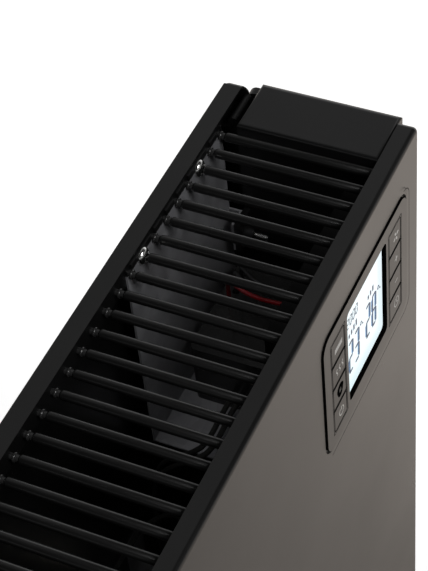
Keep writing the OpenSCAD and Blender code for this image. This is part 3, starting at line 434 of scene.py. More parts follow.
def repeating_tree(name, inputs, layout):
    """A shared tree that sets copies of a form at the points that a layout gives."""
    found = bpy.data.node_groups.get(name)
    if found is not None:
        return found
    tree = bpy.data.node_groups.new(name, "GeometryNodeTree")
    tree.interface.new_socket("Geometry", in_out="INPUT", socket_type="NodeSocketGeometry")
    for label, kind, value in (("Form", "Object", None), *inputs, ("Finish", "Material", None)):
        socket = tree.interface.new_socket(label, in_out="INPUT", socket_type="NodeSocket" + kind)
        if value is not None:
            socket.default_value = value
    tree.interface.new_socket("Geometry", in_out="OUTPUT", socket_type="NodeSocketGeometry")
    given = tree.nodes.new("NodeGroupInput").outputs
    form = added(tree, "GeometryNodeObjectInfo", {"Object": given["Form"]})
    copies = added(tree, "GeometryNodeInstanceOnPoints", {
        "Instance": form.outputs["Geometry"], **layout(tree, given)})
    real = added(tree, "GeometryNodeRealizeInstances", {"Geometry": copies.outputs["Instances"]})
    painted = added(tree, "GeometryNodeSetMaterial", {
        "Geometry": real.outputs["Geometry"], "Material": given["Finish"]})
    added(tree, "NodeGroupOutput", {"Geometry": painted.outputs["Geometry"]})
    return tree


def row_tree():
    """Copies of a form in a straight row."""
    def layout(tree, given):
        line = added(tree, "GeometryNodeMeshLine", {
            "Count": given["Count"], "Start Location": given["First place"], "Offset": given["Step"]})
        return {"Points": line.outputs["Mesh"]}

    return repeating_tree("Row of pieces", (
        ("Count", "Int", 2), ("First place", "Vector", (0.0, 0.0, 0.0)),
        ("Step", "Vector", (0.01, 0.0, 0.0))), layout)


def fastener_tree():
    """Copies of a fastener at the input's points, each turned about its own axis."""
    def layout(tree, given):
        angle = added(tree, "FunctionNodeRandomValue", {
            "Min": 0.0, "Max": math.tau, "Seed": given["Seed"]}, data_type="FLOAT")
        turn = added(tree, "FunctionNodeAxisAngleToRotation", {
            "Axis": given["Axis"], "Angle": next(s for s in angle.outputs if s.enabled)})
        return {"Points": given["Geometry"], "Rotation": turn.outputs["Rotation"]}

    return repeating_tree("Fasteners at places", (
        ("Axis", "Vector", (0.0, 1.0, 0.0)), ("Seed", "Int", 4)), layout)


def wheel_tree():
    """Copies of a blade round a wheel whose axis runs along X."""
    def layout(tree, given):
        points = added(tree, "GeometryNodePoints", {
            "Count": given["Count"], "Position": given["Middle"]})
        index = tree.nodes.new("GeometryNodeInputIndex").outputs["Index"]
        angle = times(tree, math_node(tree, "DIVIDE", index, given["Count"]), math.tau)
        turn = added(tree, "FunctionNodeAxisAngleToRotation", {"Axis": (1.0, 0.0, 0.0), "Angle": angle})
        return {"Points": points.outputs["Points"], "Rotation": turn.outputs["Rotation"]}

    return repeating_tree("Blades round a wheel", (
        ("Count", "Int", 24), ("Middle", "Vector", (0.0, 0.0, 0.0))), layout)


def grown(name, tree, places, values, body, slot):
    """A piece whose mesh a tree makes from a form, which is removed afterwards."""
    points = bpy.data.meshes.new(name)
    points.from_pydata([tuple(p) for p in places], [], [])
    piece = linked(name, points)
    modifier = piece.modifiers.new("Repeat", "NODES")
    modifier.node_group = tree
    for item in tree.interface.items_tree:
        if item.in_out == "INPUT" and item.name in values:
            modifier[item.identifier] = values[item.name]
    settled(piece)
    bpy.data.objects.remove(values["Form"])
    return riding(piece, body, slot)


# Shader groups: effects that several materials share

def shader_group(name, inputs, outputs):
    """A shader group with its inputs, and the node that takes its outputs."""
    group = bpy.data.node_groups.new(name, "ShaderNodeTree")
    for label, value in inputs:
        socket = group.interface.new_socket(label, in_out="INPUT", socket_type="NodeSocketFloat")
        socket.default_value = value
    for label in outputs:
        group.interface.new_socket(label, in_out="OUTPUT", socket_type="NodeSocketFloat")
    return group, group.nodes.new("NodeGroupInput").outputs, group.nodes.new("NodeGroupOutput")


def object_place(tree):
    """The place on a piece, along its own axes."""
    return tree.nodes.new("ShaderNodeTexCoord").outputs["Object"]


def split(tree, vector):
    """The X, Y and Z of a vector."""
    return added(tree, "ShaderNodeSeparateXYZ", {"Vector": vector}).outputs


def ranged(tree, value, low, high, to_low, to_high):
    """A value mapped smoothly from one range to another."""
    return added(tree, "ShaderNodeMapRange", {
        "Value": value, "From Min": low, "From Max": high, "To Min": to_low, "To Max": to_high,
    }, interpolation_type="SMOOTHSTEP").outputs["Result"]


def noise(tree, vector, scale, detail=2.0, roughness=0.5):
    """A noise texture's value."""
    return added(tree, "ShaderNodeTexNoise", {
        "Vector": vector, "Scale": scale, "Detail": detail, "Roughness": roughness}).outputs["Fac"]


def grain_group():
    """Fine skin of paint or moulded plastic: its height and its slow unevenness."""
    group, given, end = shader_group(
        "Fine skin", (("Scale", 1500.0), ("Unevenness", 1.0)), ("Height", "Shade"))
    place = object_place(group)
    fine = noise(group, place, given["Scale"], 3.0, 0.6)
    broad = noise(group, place, times(group, given["Scale"], 0.22), 1.0)
    slow = noise(group, place, 14.0, 3.0, 0.55)
    feed(group, end, {
        "Height": plus(group, times(group, fine, 0.6), times(group, broad, 0.4)),
        "Shade": times(group, math_node(group, "SUBTRACT", slow, 0.5), given["Unevenness"])})
    return group


def wear_group():
    """Rubbed edges and settled dust as masks."""
    group, given, end = shader_group(
        "Wear and dust", (("Wear", 0.5), ("Dust", 0.2)), ("Edge", "Dust"))
    coordinates = group.nodes.new("ShaderNodeTexCoord").outputs
    place = coordinates["Object"]
    edge = added(group, "ShaderNodeAttribute", attribute_name="edge").outputs["Fac"]
    patches = ranged(group, noise(group, place, 60.0, 4.0, 0.6), 0.42, 0.68, 0.0, 1.0)
    upward = ranged(group, split(group, coordinates["Normal"])["Z"], 0.5, 1.0, 0.0, 1.0)
    specks = ranged(group, noise(group, place, 2600.0, 1.0), 0.62, 0.78, 0.0, 1.0)
    film = ranged(group, noise(group, place, 30.0, 4.0, 0.65), 0.35, 0.75, 0.1, 0.7)
    lying = times(group, upward, math_node(group, "MAXIMUM", specks, film))
    feed(group, end, {
        "Edge": times(group, times(group, edge, patches), given["Wear"]),
        "Dust": times(group, lying, given["Dust"])})
    return group


def rolled_group():
    """Lines left by rolling or drawing metal along X, and the crystals of a zinc coat."""
    group, given, end = shader_group(
        "Rolled metal", (("Lines", 900.0), ("Stretch", 0.03), ("Crystals", 120.0)),
        ("Height", "Shade", "Crystal"))
    place = object_place(group)
    part = split(group, place)
    stretched = added(group, "ShaderNodeCombineXYZ", {
        "X": times(group, part["X"], given["Stretch"]), "Y": part["Y"], "Z": part["Z"]})
    lines = noise(group, stretched.outputs["Vector"], given["Lines"], 4.0, 0.65)
    cells = added(group, "ShaderNodeTexVoronoi", {"Scale": given["Crystals"], "Vector": place})
    tone = added(group, "ShaderNodeSeparateColor", {"Color": cells.outputs["Color"]})
    feed(group, end, {
        "Height": lines, "Shade": math_node(group, "SUBTRACT", lines, 0.5),
        "Crystal": tone.outputs["Red"]})
    return group


def placed(tree, name, maker, **values):
    """The outputs of a shared group placed in a material with its own values."""
    group = bpy.data.node_groups.get(name) or maker()
    return added(tree, "ShaderNodeGroup", values, node_tree=group).outputs


# Materials

def new_material(name):
    """A material with its tree and its Principled shader."""
    material = bpy.data.materials.new("fine_" + name)
    material.use_nodes = True
    tree = material.node_tree
    tree.nodes.clear()
    shader = tree.nodes.new("ShaderNodeBsdfPrincipled")
    added(tree, "ShaderNodeOutputMaterial", {"Surface": shader.outputs["BSDF"]})
    return material, tree, shader


def shared(name, maker, *values, **more):
    """A material that is made once, by its maker, and used by several pieces."""
    return bpy.data.materials.get("fine_" + name) or maker(name, *values, **more)


def colour_mix(tree, mask, first, second):
    """Two colours, or sockets of colour, mixed by a mask."""
    node = added(tree, "ShaderNodeMix", {"Factor": mask}, data_type="RGBA")
    for label, value in (("A", first), ("B", second)):
        socket = next(s for s in node.inputs if s.name == label and s.type == "RGBA")
        if isinstance(value, tuple):
            socket.default_value = (*value, 1.0)
        else:
            tree.links.new(value, socket)
    return next(s for s in node.outputs if s.type == "RGBA")


def scaled(colour, factor):
    """A colour made lighter or darker."""
    return tuple(c * factor for c in colour)


def relief(tree, shader, height, distance):
    """Small relief from a height."""
    bump = added(tree, "ShaderNodeBump", {"Height": height, "Distance": distance, "Strength": 1.0})
    feed(tree, shader, {"Normal": bump.outputs["Normal"]})


def skin_material(name, colour, roughness, grain, height, wear=0.4, dust=0.1, worn=None, specular=0.5):
    """Paint, moulded plastic or rubber: fine skin, uneven gloss, rubbed edges and dust."""
    material, tree, shader = new_material(name)
    skin = placed(tree, "Fine skin", grain_group, Scale=grain, Unevenness=0.3)
    masks = placed(tree, "Wear and dust", wear_group, Wear=wear, Dust=dust)
    tone = ranged(tree, skin["Shade"], -0.2, 0.2, 0.0, 1.0)
    base = colour_mix(tree, tone, scaled(colour, 0.86), scaled(colour, 1.14))
    rubbed = colour_mix(tree, masks["Edge"], base, worn or scaled(colour, 4.0))
    gloss = plus(tree, roughness, times(tree, skin["Shade"], 0.3))
    feed(tree, shader, {
        "Base Color": colour_mix(tree, masks["Dust"], rubbed, (0.24, 0.23, 0.21)),
        "Roughness": plus(tree, gloss, times(tree, masks["Dust"], 0.3)),
        "Specular IOR Level": specular})
    relief(tree, shader, skin["Height"], height)
    return material


def metal_material(name, colour, roughness, lines=900.0, stretch=0.03, crystals=120.0,
                   spangle=0.0, height=0.00002, tarnish=0.2, metallic=1.0, painted_shade_above=10.0):
    """Bare or coated metal: drawn lines, zinc crystals, dull patches, and an upper edge blackened as painted
    shade.
    """
    material, tree, shader = new_material(name)
    rolled = placed(tree, "Rolled metal", rolled_group, Lines=lines, Stretch=stretch, Crystals=crystals)
    skin = placed(tree, "Fine skin", grain_group, Scale=260.0, Unevenness=1.0)
    tone = plus(tree, times(tree, rolled["Crystal"], spangle), times(tree, rolled["Shade"], 0.6))
    cast = ranged(tree, tone, -0.25, 0.75, 0.0, 1.0)
    base = colour_mix(tree, cast, scaled(colour, 0.8), scaled(colour, 1.12))
    bare = colour_mix(tree, ranged(tree, skin["Shade"], 0.0, 0.25, 0.0, tarnish), base, scaled(colour, 0.45))
    # Painted shade: above the given height the metal turns matt black and loses its shine
    up = split(tree, object_place(tree))["Z"]
    painted = ranged(tree, up, painted_shade_above, painted_shade_above + 0.0003, 0.0, 1.0)
    feed(tree, shader, {
        "Base Color": colour_mix(tree, painted, bare, (0.002, 0.002, 0.002)),
        "Metallic": ranged(tree, painted, 0.0, 1.0, metallic, 0.0),
        "Roughness": plus(tree, roughness, times(tree, tone, 0.2))})
    relief(tree, shader, rolled["Height"], height)
    return material


def sleeve_material(name, colour):
    """Insulation of a lead: smooth, slightly waxy, a little uneven."""
    material, tree, shader = new_material(name)
    skin = placed(tree, "Fine skin", grain_group, Scale=500.0, Unevenness=1.0)
    tone = ranged(tree, skin["Shade"], -0.2, 0.2, 0.0, 1.0)
    feed(tree, shader, {
        "Base Color": colour_mix(tree, tone, scaled(colour, 0.8), scaled(colour, 1.15)),
        "Roughness": plus(tree, 0.35, times(tree, skin["Shade"], 0.4)),
        "Coat Weight": 0.2})
    relief(tree, shader, skin["Height"], 0.00003)
    return material


def braid_material(name, colour):
    """Woven glass sleeving of the leads that run near the element."""
    material, tree, shader = new_material(name)
    weave = added(tree, "ShaderNodeTexVoronoi", {"Scale": 1400.0, "Vector": object_place(tree)})
    depth = weave.outputs["Distance"]
    tone = ranged(tree, depth, 0.0, 0.7, 0.0, 1.0)
    feed(tree, shader, {
        "Base Color": colour_mix(tree, tone, colour, scaled(colour, 0.45)), "Roughness": 0.75})
    relief(tree, shader, depth, 0.0001)
    return material


def straight_glow(tree, shader, glow, strength, roughness):
    """Light that leaves the display straight ahead and hardly reaches its recess."""
    seen = tree.nodes.new("ShaderNodeLightPath").outputs["Is Camera Ray"]
    feed(tree, shader, {
        "Base Color": (0.02, 0.02, 0.022, 1.0), "Roughness": roughness, "Emission Color": glow,
        "Emission Strength": ranged(tree, seen, 0.0, 1.0, strength * 0.02, strength)})


def glow_material(name, colour, edge_colour, low, high):
    """Back-lit glass: even light that falls off a little towards the rim."""
    material, tree, shader = new_material(name)
    place = object_place(tree)
    part = split(tree, place)
    side = ranged(tree, part["X"], low.x, high.x, 1.0, 0.0)
    rise = ranged(tree, part["Z"], low.z, high.z, 1.0, 0.0)
    cloud = noise(tree, place, 90.0, 2.0)
    mask = times(tree, times(tree, plus(tree, side, rise), 0.5), plus(tree, cloud, 0.5))
    straight_glow(tree, shader, colour_mix(tree, mask, colour, edge_colour), 1.0, 0.2)
    return material


def segment_material(name, colour, dark_share):
    """Liquid crystal figures with uneven depth."""
    material, tree, shader = new_material(name)
    mask = ranged(tree, noise(tree, object_place(tree), 420.0, 2.0), 0.35, 0.65, 0.0, 0.75)
    straight_glow(tree, shader, colour_mix(tree, mask, colour, scaled(colour, dark_share)), 0.8, 0.3)
    return material


def board_material():
    """Green laminate with copper tracks under the lacquer."""
    material, tree, shader = new_material("board_laminate")
    upright = added(tree, "ShaderNodeMapping", {
        "Vector": object_place(tree), "Rotation": (math.radians(90.0), 0.0, 0.0)})
    tracks = added(tree, "ShaderNodeTexBrick", {
        "Vector": upright.outputs["Vector"], "Scale": 160.0, "Mortar Size": 0.03}).outputs["Fac"]
    feed(tree, shader, {
        "Base Color": colour_mix(tree, tracks, (0.012, 0.07, 0.025), (0.035, 0.13, 0.05)),
        "Roughness": 0.35})
    relief(tree, shader, tracks, 0.00004)
    return material


def ceramic_material():
    """Unglazed ceramic with small specks."""
    material, tree, shader = new_material("ceramic")
    skin = placed(tree, "Fine skin", grain_group, Scale=900.0, Unevenness=1.0)
    tone = ranged(tree, skin["Height"], 0.4, 0.62, 0.0, 1.0)
    feed(tree, shader, {
        "Base Color": colour_mix(tree, tone, (0.62, 0.58, 0.5), (0.8, 0.77, 0.7)), "Roughness": 0.6})
    relief(tree, shader, skin["Height"], 0.00008)
    return material


def zinc_sheet(painted_shade_above=10.0):
    """Zinc-coated sheet with its crystals."""
    return metal_material(
        "zinc_sheet", (0.30, 0.30, 0.315), 0.4, 700.0, 0.05, 150.0, spangle=0.5, tarnish=0.3,
        metallic=0.6, painted_shade_above=painted_shade_above)


def housing():
    """Black moulded housings behind the panels."""
    return shared(
        "housing_plastic", skin_material, (0.010, 0.010, 0.010), 0.26, 700.0, 0.00003, wear=0.2, dust=0.02)


def dark_ink():
    """Matt black of the lock's printed patch, and painted shade in the joints round the keys, along the
    control panel's edge and on its side walls.
    """
    return shared("dark_ink", skin_material, (0.002, 0.002, 0.002), 0.9, 3000.0, 0.000004,
                  wear=0.0, dust=0.0, specular=0.0)


def switch_plastic():
    """Black plastic of the small switches."""
    return shared("switch_plastic", skin_material, (0.02, 0.02, 0.02), 0.4, 1500.0, 0.00002)


# Operators: one for each piece or group of like pieces

class HEATER_OT_pressed_panels(bpy.types.Operator):
    """Front and rear panels of pressed sheet, painted satin black"""
    bl_idname = "heater.pressed_panels"
    bl_label = "Pressed panels"

    def execute(self, context):
        look = context.scene.heater_case
        finish = skin_material("panel_paint", tuple(look.paint), 0.29, 1700.0, 0.000012,
                               wear=0.35, dust=0.006, worn=(0.02, 0.02, 0.021))
        # A darker, duller copy of the paint for the bar rail inside the front panel: painted shade
        inner = skin_material("rail_painted_shade", scaled(look.paint, 0.8), 0.6, 1100.0, 0.00003,
                              wear=0.0, dust=0.0, specular=0.12)
        dressed("front_panel", finish, "panel_paint", look.softness)
        dressed("rear_panel", finish, "panel_paint", look.softness, shape=crisp_rear_edge)
        dressed("front_bar_rail", inner, "panel_paint", look.softness)
        dressed("intake_grille", finish, "panel_paint", look.softness)
        return {"FINISHED"}


class HEATER_OT_side_panels(bpy.types.Operator):
    """Moulded side panels with rounded outer edges"""
    bl_idname = "heater.side_panels"
    bl_label = "Side panels"

    def execute(self, context):
        finish = skin_material("side_plastic", tuple(context.scene.heater_case.moulding), 0.32, 2300.0,
                               0.000016, wear=0.3, dust=0.006, specular=0.45)
        for node in ("side_panel_left", "side_panel_right"):
            dressed(node, finish, "side_plastic", 0.0003)
        return {"FINISHED"}


class HEATER_OT_outlet_bars(bpy.types.Operator):
    """Round bars across the outlet, with a shoulder at the rear and a welded pin behind"""
    bl_idname = "heater.outlet_bars"
    bl_label = "Outlet bars"

    def execute(self, context):
        look = context.scene.heater_outlet
        radius = (BARS_HIGH.z - BARS_LOW.z) / 2
        length = BARS_HIGH.y - BARS_LOW.y
        first_x, axis_z = BARS_LOW.x + radius, (BARS_HIGH.z + BARS_LOW.z) / 2
        profile = [
            (-length, 0.0), (-length, radius - 0.0003), (-length + 0.0003, radius),
            *arc_points(-look.shoulder, radius - look.shoulder, look.shoulder, 90.0, 0.0, 6), (0.0, 0.0)]
        finish = skin_material("bar_paint", tuple(context.scene.heater_case.paint), 0.28, 1100.0, 0.000012,
                               wear=0.2, dust=0.006)
        bars = grown("outlet_bar_row", row_tree(), [], {
            "Form": linked("bar_form", revolved("bar_form", profile, 32, (0.0, 1.0, 0.0))),
            "Count": look.count, "First place": (first_x, BARS_HIGH.y, axis_z),
            "Step": (look.pitch, 0.0, 0.0), "Finish": finish,
        }, "case", "panel_paint")
        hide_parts("outlet_bars")
        self.pins(look, first_x, axis_z)
        return {"FINISHED"}

    def pins(self, look, first_x, axis_z):
        """Welded pins behind the bars, apart from the places where the shield's screws stand."""
        low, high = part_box("bar_pins")
        length = high.y - low.y
        pin = look.pin / 2
        profile = [
            (0.0, 0.0), (0.0, pin),
            *arc_points(-length * 0.5, pin, look.bead / 2 - pin, 0.0, 180.0, 10),
            (-length, pin), (-length, 0.0)]
        screwed = [(low.x + high.x) / 2 for low, high in boxes("shield_screws")]
        spots = [first_x + i * look.pitch for i in range(look.count)]
        places = [(x, high.y, axis_z) for x in spots
                  if x < BARS_HIGH.x and all(abs(x - s) > look.pitch / 2 for s in screwed)]
        gloss = skin_material("weld_paint", (0.012, 0.012, 0.012), 0.16, 1500.0, 0.00005, wear=0.0, dust=0.0)
        pins = grown("bar_pin_row", fastener_tree(), places, {
            "Form": linked("pin_form", revolved("pin_form", profile, 24, (0.0, 1.0, 0.0))),
            "Axis": (0.0, 1.0, 0.0), "Seed": 3, "Finish": gloss,
        }, "case", "panel_paint")
        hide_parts("bar_pins")


def boxes(node):
    """Lowest and highest corner of each separate solid of a node."""
    work = node_mesh(node)
    seen, found = set(), []
    for vert in work.verts:
        if vert in seen:
            continue
        stack, part = [vert], []
        seen.add(vert)
        while stack:
            here = stack.pop()
            part.append(here.co.copy())
            for edge in here.link_edges:
                other = edge.other_vert(here)
                if other not in seen:
                    seen.add(other)
                    stack.append(other)
        found.append(tuple(Vector([end(p[i] for p in part) for i in range(3)]) for end in (min, max)))
    work.free()
    return found


def screw_form(name, head_radius, head_height, shank_radius, shank_length, axis):
    """Domed head with a cross recess, its underside at the origin, and a threaded shank."""
    root = shank_radius * 0.82
    profile = [(head_height, 0.0)]
    profile += [(head_height * math.cos(math.radians(a)) ** 0.7, head_radius * math.sin(math.radians(a)))
                for a in (12.0, 24.0, 36.0, 48.0, 60.0, 72.0, 82.0)]
    profile += [(head_height * 0.08, head_radius), (0.0, head_radius * 0.97), (0.0, root)]
    thread = 0.0006
    turns = max(2, int(shank_length / thread))
    for k in range(turns):
        base = -k * shank_length / turns
        profile += [(base - 0.3 * thread, root), (base - 0.5 * thread, shank_radius),
                    (base - 0.7 * thread, root)]
    profile += [(-shank_length, shank_radius * 0.6), (-shank_length, 0.0)]
    form = linked(name, revolved(name, profile, 28, (0.0, 0.0, 1.0)))
    cross = bmesh.new()
    size = Matrix.Diagonal((head_radius * 1.15, head_radius * 0.26, head_height * 1.1, 1.0))
    place = Matrix.Translation((0.0, 0.0, head_height))
    for turn in (0.0, 90.0):
        spin = Matrix.Rotation(math.radians(turn), 4, "Z")
        bmesh.ops.create_cube(cross, size=1.0, matrix=place @ spin @ size)
    cutter = linked(name + "_cutter", finished_mesh(cross, name + "_cutter"))
    cut = form.modifiers.new("Recess", "BOOLEAN")
    cut.operation = "DIFFERENCE"
    cut.solver = "EXACT"
    cut.use_self = True
    cut.object = cutter
    settled(form)
    bpy.data.objects.remove(cutter)
    form.data.transform(turned_to(axis))
    return form


class HEATER_OT_screws(bpy.types.Operator):
    """Screws of the shield, the side panels, the board and the feet, and the cover's nuts"""
    bl_idname = "heater.screws"
    bl_label = "Screws and nuts"

    def row(self, name, spans, axis, head, head_height, shank, finish, slot, seed):
        """Screws whose heads stand at the end of each span that the axis points to."""
        along = max(range(3), key=lambda i: abs(axis[i]))
        places = []
        for low, high in spans:
            place = (low + high) / 2
            tip = high[along] if axis[along] > 0 else low[along]
            place[along] = tip - axis[along] * head_height
            places.append(place)
        length = spans[0][1][along] - spans[0][0][along] - head_height
        form = screw_form(name + "_form", head, head_height, shank, length, axis)
        return grown(name, fastener_tree(), places, {
            "Form": form, "Axis": axis, "Seed": seed, "Finish": finish}, "case", slot)

    def execute(self, context):
        bright = metal_material(
            "zinc_screw", (0.82, 0.82, 0.80), 0.22, 2400.0, 0.6, 900.0, spangle=0.15, height=0.000015)
        black = skin_material("black_screw", (0.014, 0.014, 0.015), 0.28, 900.0, 0.00002, wear=0.6, dust=0.0)
        # Each node with its axis, its head's radius and height, its shank's radius and its seed
        for node, axis, head, head_height, shank, seed in (
                ("shield_screws", (0.0, -1.0, 0.0), 0.0039, 0.0024, 0.00155, 11),
                ("side_wall_screw", (0.0, 1.0, 0.0), 0.0032, 0.002, 0.00175, 5),
                ("board_screws", (0.0, 1.0, 0.0), 0.0021, 0.0015, 0.001, 6),
                ("foot_screws", (0.0, 0.0, -1.0), 0.004, 0.003, 0.002, 7)):
            made = self.row("set_of_" + node, boxes(node), axis, head, head_height, shank,
                            bright, "zinc_screw", seed)
            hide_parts(node)
        dressed("cover_nuts", bright, "zinc_screw", 0.0001)
        # The side panels' screws face both ways, so each end has its own row
        spans = boxes("side_screws")
        for label, side in (("left", -1.0), ("right", 1.0)):
            chosen = [(low, high) for low, high in spans if (low.x + high.x) * side > 0]
            made = self.row("side_screws_" + label, chosen, (side, 0.0, 0.0), 0.0032, 0.0018, 0.0016,
                            black, "black_screw", 8)
            if label == "left":
                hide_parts("side_screws")
        return {"FINISHED"}


class HEATER_OT_shield(bpy.types.Operator):
    """Zinc-coated shield with its shelf and ear"""
    bl_idname = "heater.shield"
    bl_label = "Electronics shield"

    def execute(self, context):
        # The shield's edge above the given height is blackened as painted shade
        dressed("electronics_shield", zinc_sheet(SHIELD_SHADE_TOP), "zinc_sheet", 0.00015)
        return {"FINISHED"}


class HEATER_OT_control_fascia(bpy.types.Operator):
    """Raised control panel round the display and the keys"""
    bl_idname = "heater.control_fascia"
    bl_label = "Control panel"

    def execute(self, context):
        finish = skin_material("fascia_plastic", tuple(context.scene.heater_control.moulding), 0.34,
                               2600.0, 0.000012, wear=0.2, dust=0.0)
        panel = dressed("control_fascia", finish, "fascia_plastic", 0.0004)
        # Faces turned away from the front take the matt black: painted shade on the panel's side walls
        panel.data.materials.append(dark_ink())
        for face in panel.data.polygons:
            if abs(face.normal.y) < 0.5:
                face.material_index = 1
        return {"FINISHED"}


class HEATER_OT_display(bpy.types.Operator):
    """Back-lit display with its figures"""
    bl_idname = "heater.display"
    bl_label = "Display"

    def execute(self, context):
        look = context.scene.heater_control
        glass = glow_material(
            "display_glass", tuple(look.backlight), (0.79, 0.94, 0.975), DISPLAY_LOW, DISPLAY_HIGH)
        dressed("display_panel", glass, "display_glass", 0.0002)
        rim = skin_material("display_frame", (0.78, 0.78, 0.76), 0.5, 900.0, 0.00002, wear=0.0, dust=0.0)
        dressed("display_light", rim, "display_frame", 0.0002)
        self.figures(look)
        return {"FINISHED"}

    def figures(self, look):
        """Two tall figures with a painted shadow behind their uprights, a small one above them, degree marks
        and level bars.
        """
        left, base = DISPLAY_LOW.x / MM, DISPLAY_LOW.z / MM
        front = DISPLAY_LOW.y
        ink = segment_material("display_ink", tuple(look.segments), 0.3)
        figure_shadow = segment_material("display_painted_shadow", tuple(look.shade), 0.55)

        def tall(thick, inset, parts):
            """Some segments of both tall figures, from their places in the display."""
            outlines = []
            for value, x, z, height in ((look.room, 5.9, 11.9, 19.4), (look.wanted, 25.9, 13.4, 20.0)):
                outlines += number(value, 2, left + x + inset, base + z, 6.2 - inset, height, thick,
                                   7.0, 0.03, parts)
            return outlines

        # Wider blue strokes under the uprights: painted shadow of the figures, cast on the back light
        flat_plates("display_shades", tall(2.3, 0.0, "bcef"), front - PRINT * 1.5, figure_shadow, "display_glass")
        outlines = tall(1.2, 1.1, "bcef") + tall(1.5, 0.0, "adg")
        outlines += number(look.load, 4, left + 5.6, base + 41.2, 2.7, 6.0, 0.75, 3.25)
        for x, z in ((left + 21.4, base + 30.2), (left + 41.9, base + 31.8)):
            outlines += ring(x, z, 0.85, 0.6) + [stroke([(x + 1.5, z - 1.1), (x + 2.4, z - 2.6)], 0.7)]
        for x, z, count in ((left + 7.4, base + 34.4, 4), (left + 29.6, base + 36.0, 3)):
            for i in range(count):
                tall_bar = 2.4 + 0.5 * i
                outlines.append(rectangle(x + i * 2.7 + 0.75, z + tall_bar / 2, 1.5, tall_bar))
        flat_plates("display_figures", outlines, front - PRINT * 3, ink, "display_glass")


def key_marks():
    """Outlines of each key's mark about the key's middle, in millimetres."""
    slanted = [[(x, -1.3), (x + 0.75, -1.3), (x + 1.15, 1.3), (x + 0.4, 1.3)]
               for x in (-4.4 + i for i in range(8))]
    waves = [stroke([(x + 0.55 * math.sin(t * 0.9), -1.9 + t * 0.48) for t in range(9)], 0.55)
             for x in (-3.0, 0.0, 3.0)]
    lock = [stroke(arc_points(0.0, 0.9, 1.2, 0.0, 180.0), 0.45), rectangle(0.0, -0.6, 3.2, 2.6)]
    lock = [[(x * 0.6, z * 0.6) for x, z in form] for form in lock]
    power = [stroke(arc_points(0.0, -0.2, 2.3, 120.0, 420.0, 28), 0.5), stroke([(0.0, 0.4), (0.0, 2.7)], 0.5)]
    blades = []
    for k in range(4):
        a = math.radians(90.0 * k + 20.0)
        reach = [(0.5, 0.0), (1.6, 0.75), (2.9, 0.55), (3.1, -0.15), (1.9, -0.45)]
        blades.append([(x * math.cos(a) - z * math.sin(a), x * math.sin(a) + z * math.cos(a))
                       for x, z in reach])
    plus_sign = [stroke([(-1.75, 0.0), (1.75, 0.0)], 0.5),
                 stroke([(0.0, 0.3), (0.0, 1.75)], 0.5), stroke([(0.0, -1.75), (0.0, -0.3)], 0.5)]
    minus_sign = [stroke([(-1.6, 0.0), (1.6, 0.0)], 0.55)]
    timer = ring(0.0, 0.0, 2.6, 0.45) + [stroke([(0.0, 1.6), (0.0, 0.0), (1.2, -0.7)], 0.4)]
    return {"heat": slanted, "mode": waves, "lock": lock, "power": power,
            "fan": blades, "plus": plus_sign, "minus": minus_sign, "timer": timer}


class HEATER_OT_keys(bpy.types.Operator):
    """Eight flush keys with their printed marks"""
    bl_idname = "heater.keys"
    bl_label = "Keys"

    def execute(self, context):
        look = context.scene.heater_control
        finish = skin_material("key_plastic", tuple(look.moulding), 0.37, 2600.0, 0.000012,
                               wear=0.2, dust=0.0)
        ink = skin_material("mark_ink", tuple(look.marks), 0.5, 3000.0, 0.000004, wear=0.0, dust=0.0)
        faint = skin_material("faint_ink", scaled(look.marks, 0.09), 0.6, 3000.0, 0.000004,
                              wear=0.0, dust=0.0)
        marks = key_marks()
        joint_shadows = []
        for key in LEFT_KEYS + RIGHT_KEYS:
            body = key + "_key"
            dressed("key_" + key, finish, "key_plastic", 0.00012, body)
            low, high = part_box("key_" + key)
            x, z = (low.x + high.x) / 2 / MM, (low.z + high.z) / 2 / MM
            wide, tall = (high.x - low.x) / MM, (high.z - low.z) / MM
            # Dark bars round each key, on the panel and on the key's rim: painted shade in the gap between
            # them
            joint_shadows += frame_bars(x, z, wide + 1.9, tall + 1.9, 0.4)
            flat_plates("joint_" + key, frame_bars(x, z, wide - 0.5, tall - 0.5, 0.32),
                        low.y - PRINT, dark_ink(), "key_plastic", body)
            # The marks stand to the right of the keys' middles, the lock's on a dark patch
            if key == "lock":
                x += 0.5
                patch = [(x + 3.3 * math.cos(a) * (1.0 + 0.12 * math.sin(3.0 * a)), z + 4.0 * math.sin(a))
                         for a in (math.radians(d) for d in range(0, 360, 12))]
                flat_plates("mark_patch_" + key, [patch], low.y - PRINT, dark_ink(), "key_plastic", body)
            else:
                x, z = x + (1.4 if key in RIGHT_KEYS else 0.9), z - 0.2
            flat_plates("mark_" + key, moved(marks[key], x, z), low.y - PRINT * 2,
                        faint if key == "lock" else ink, "key_plastic", body)
        # A thin dark line along the panel's right and lower edge: painted shadow of the groove round it
        low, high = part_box("control_fascia")
        right = high.x / MM - PANEL_ROUND
        base, top = low.z / MM + PANEL_ROUND, high.z / MM - PANEL_ROUND
        radius = PANEL_ROUND - 0.3
        joint_shadows.append(stroke(
            arc_points(right, top, radius, 90.0, 0.0) + arc_points(right, base, radius, 0.0, -90.0)
            + [(low.x / MM + PANEL_ROUND, base - radius)], 0.34))
        flat_plates("panel_joints", joint_shadows, low.y - PRINT, dark_ink(), "fascia_plastic")
        return {"FINISHED"}


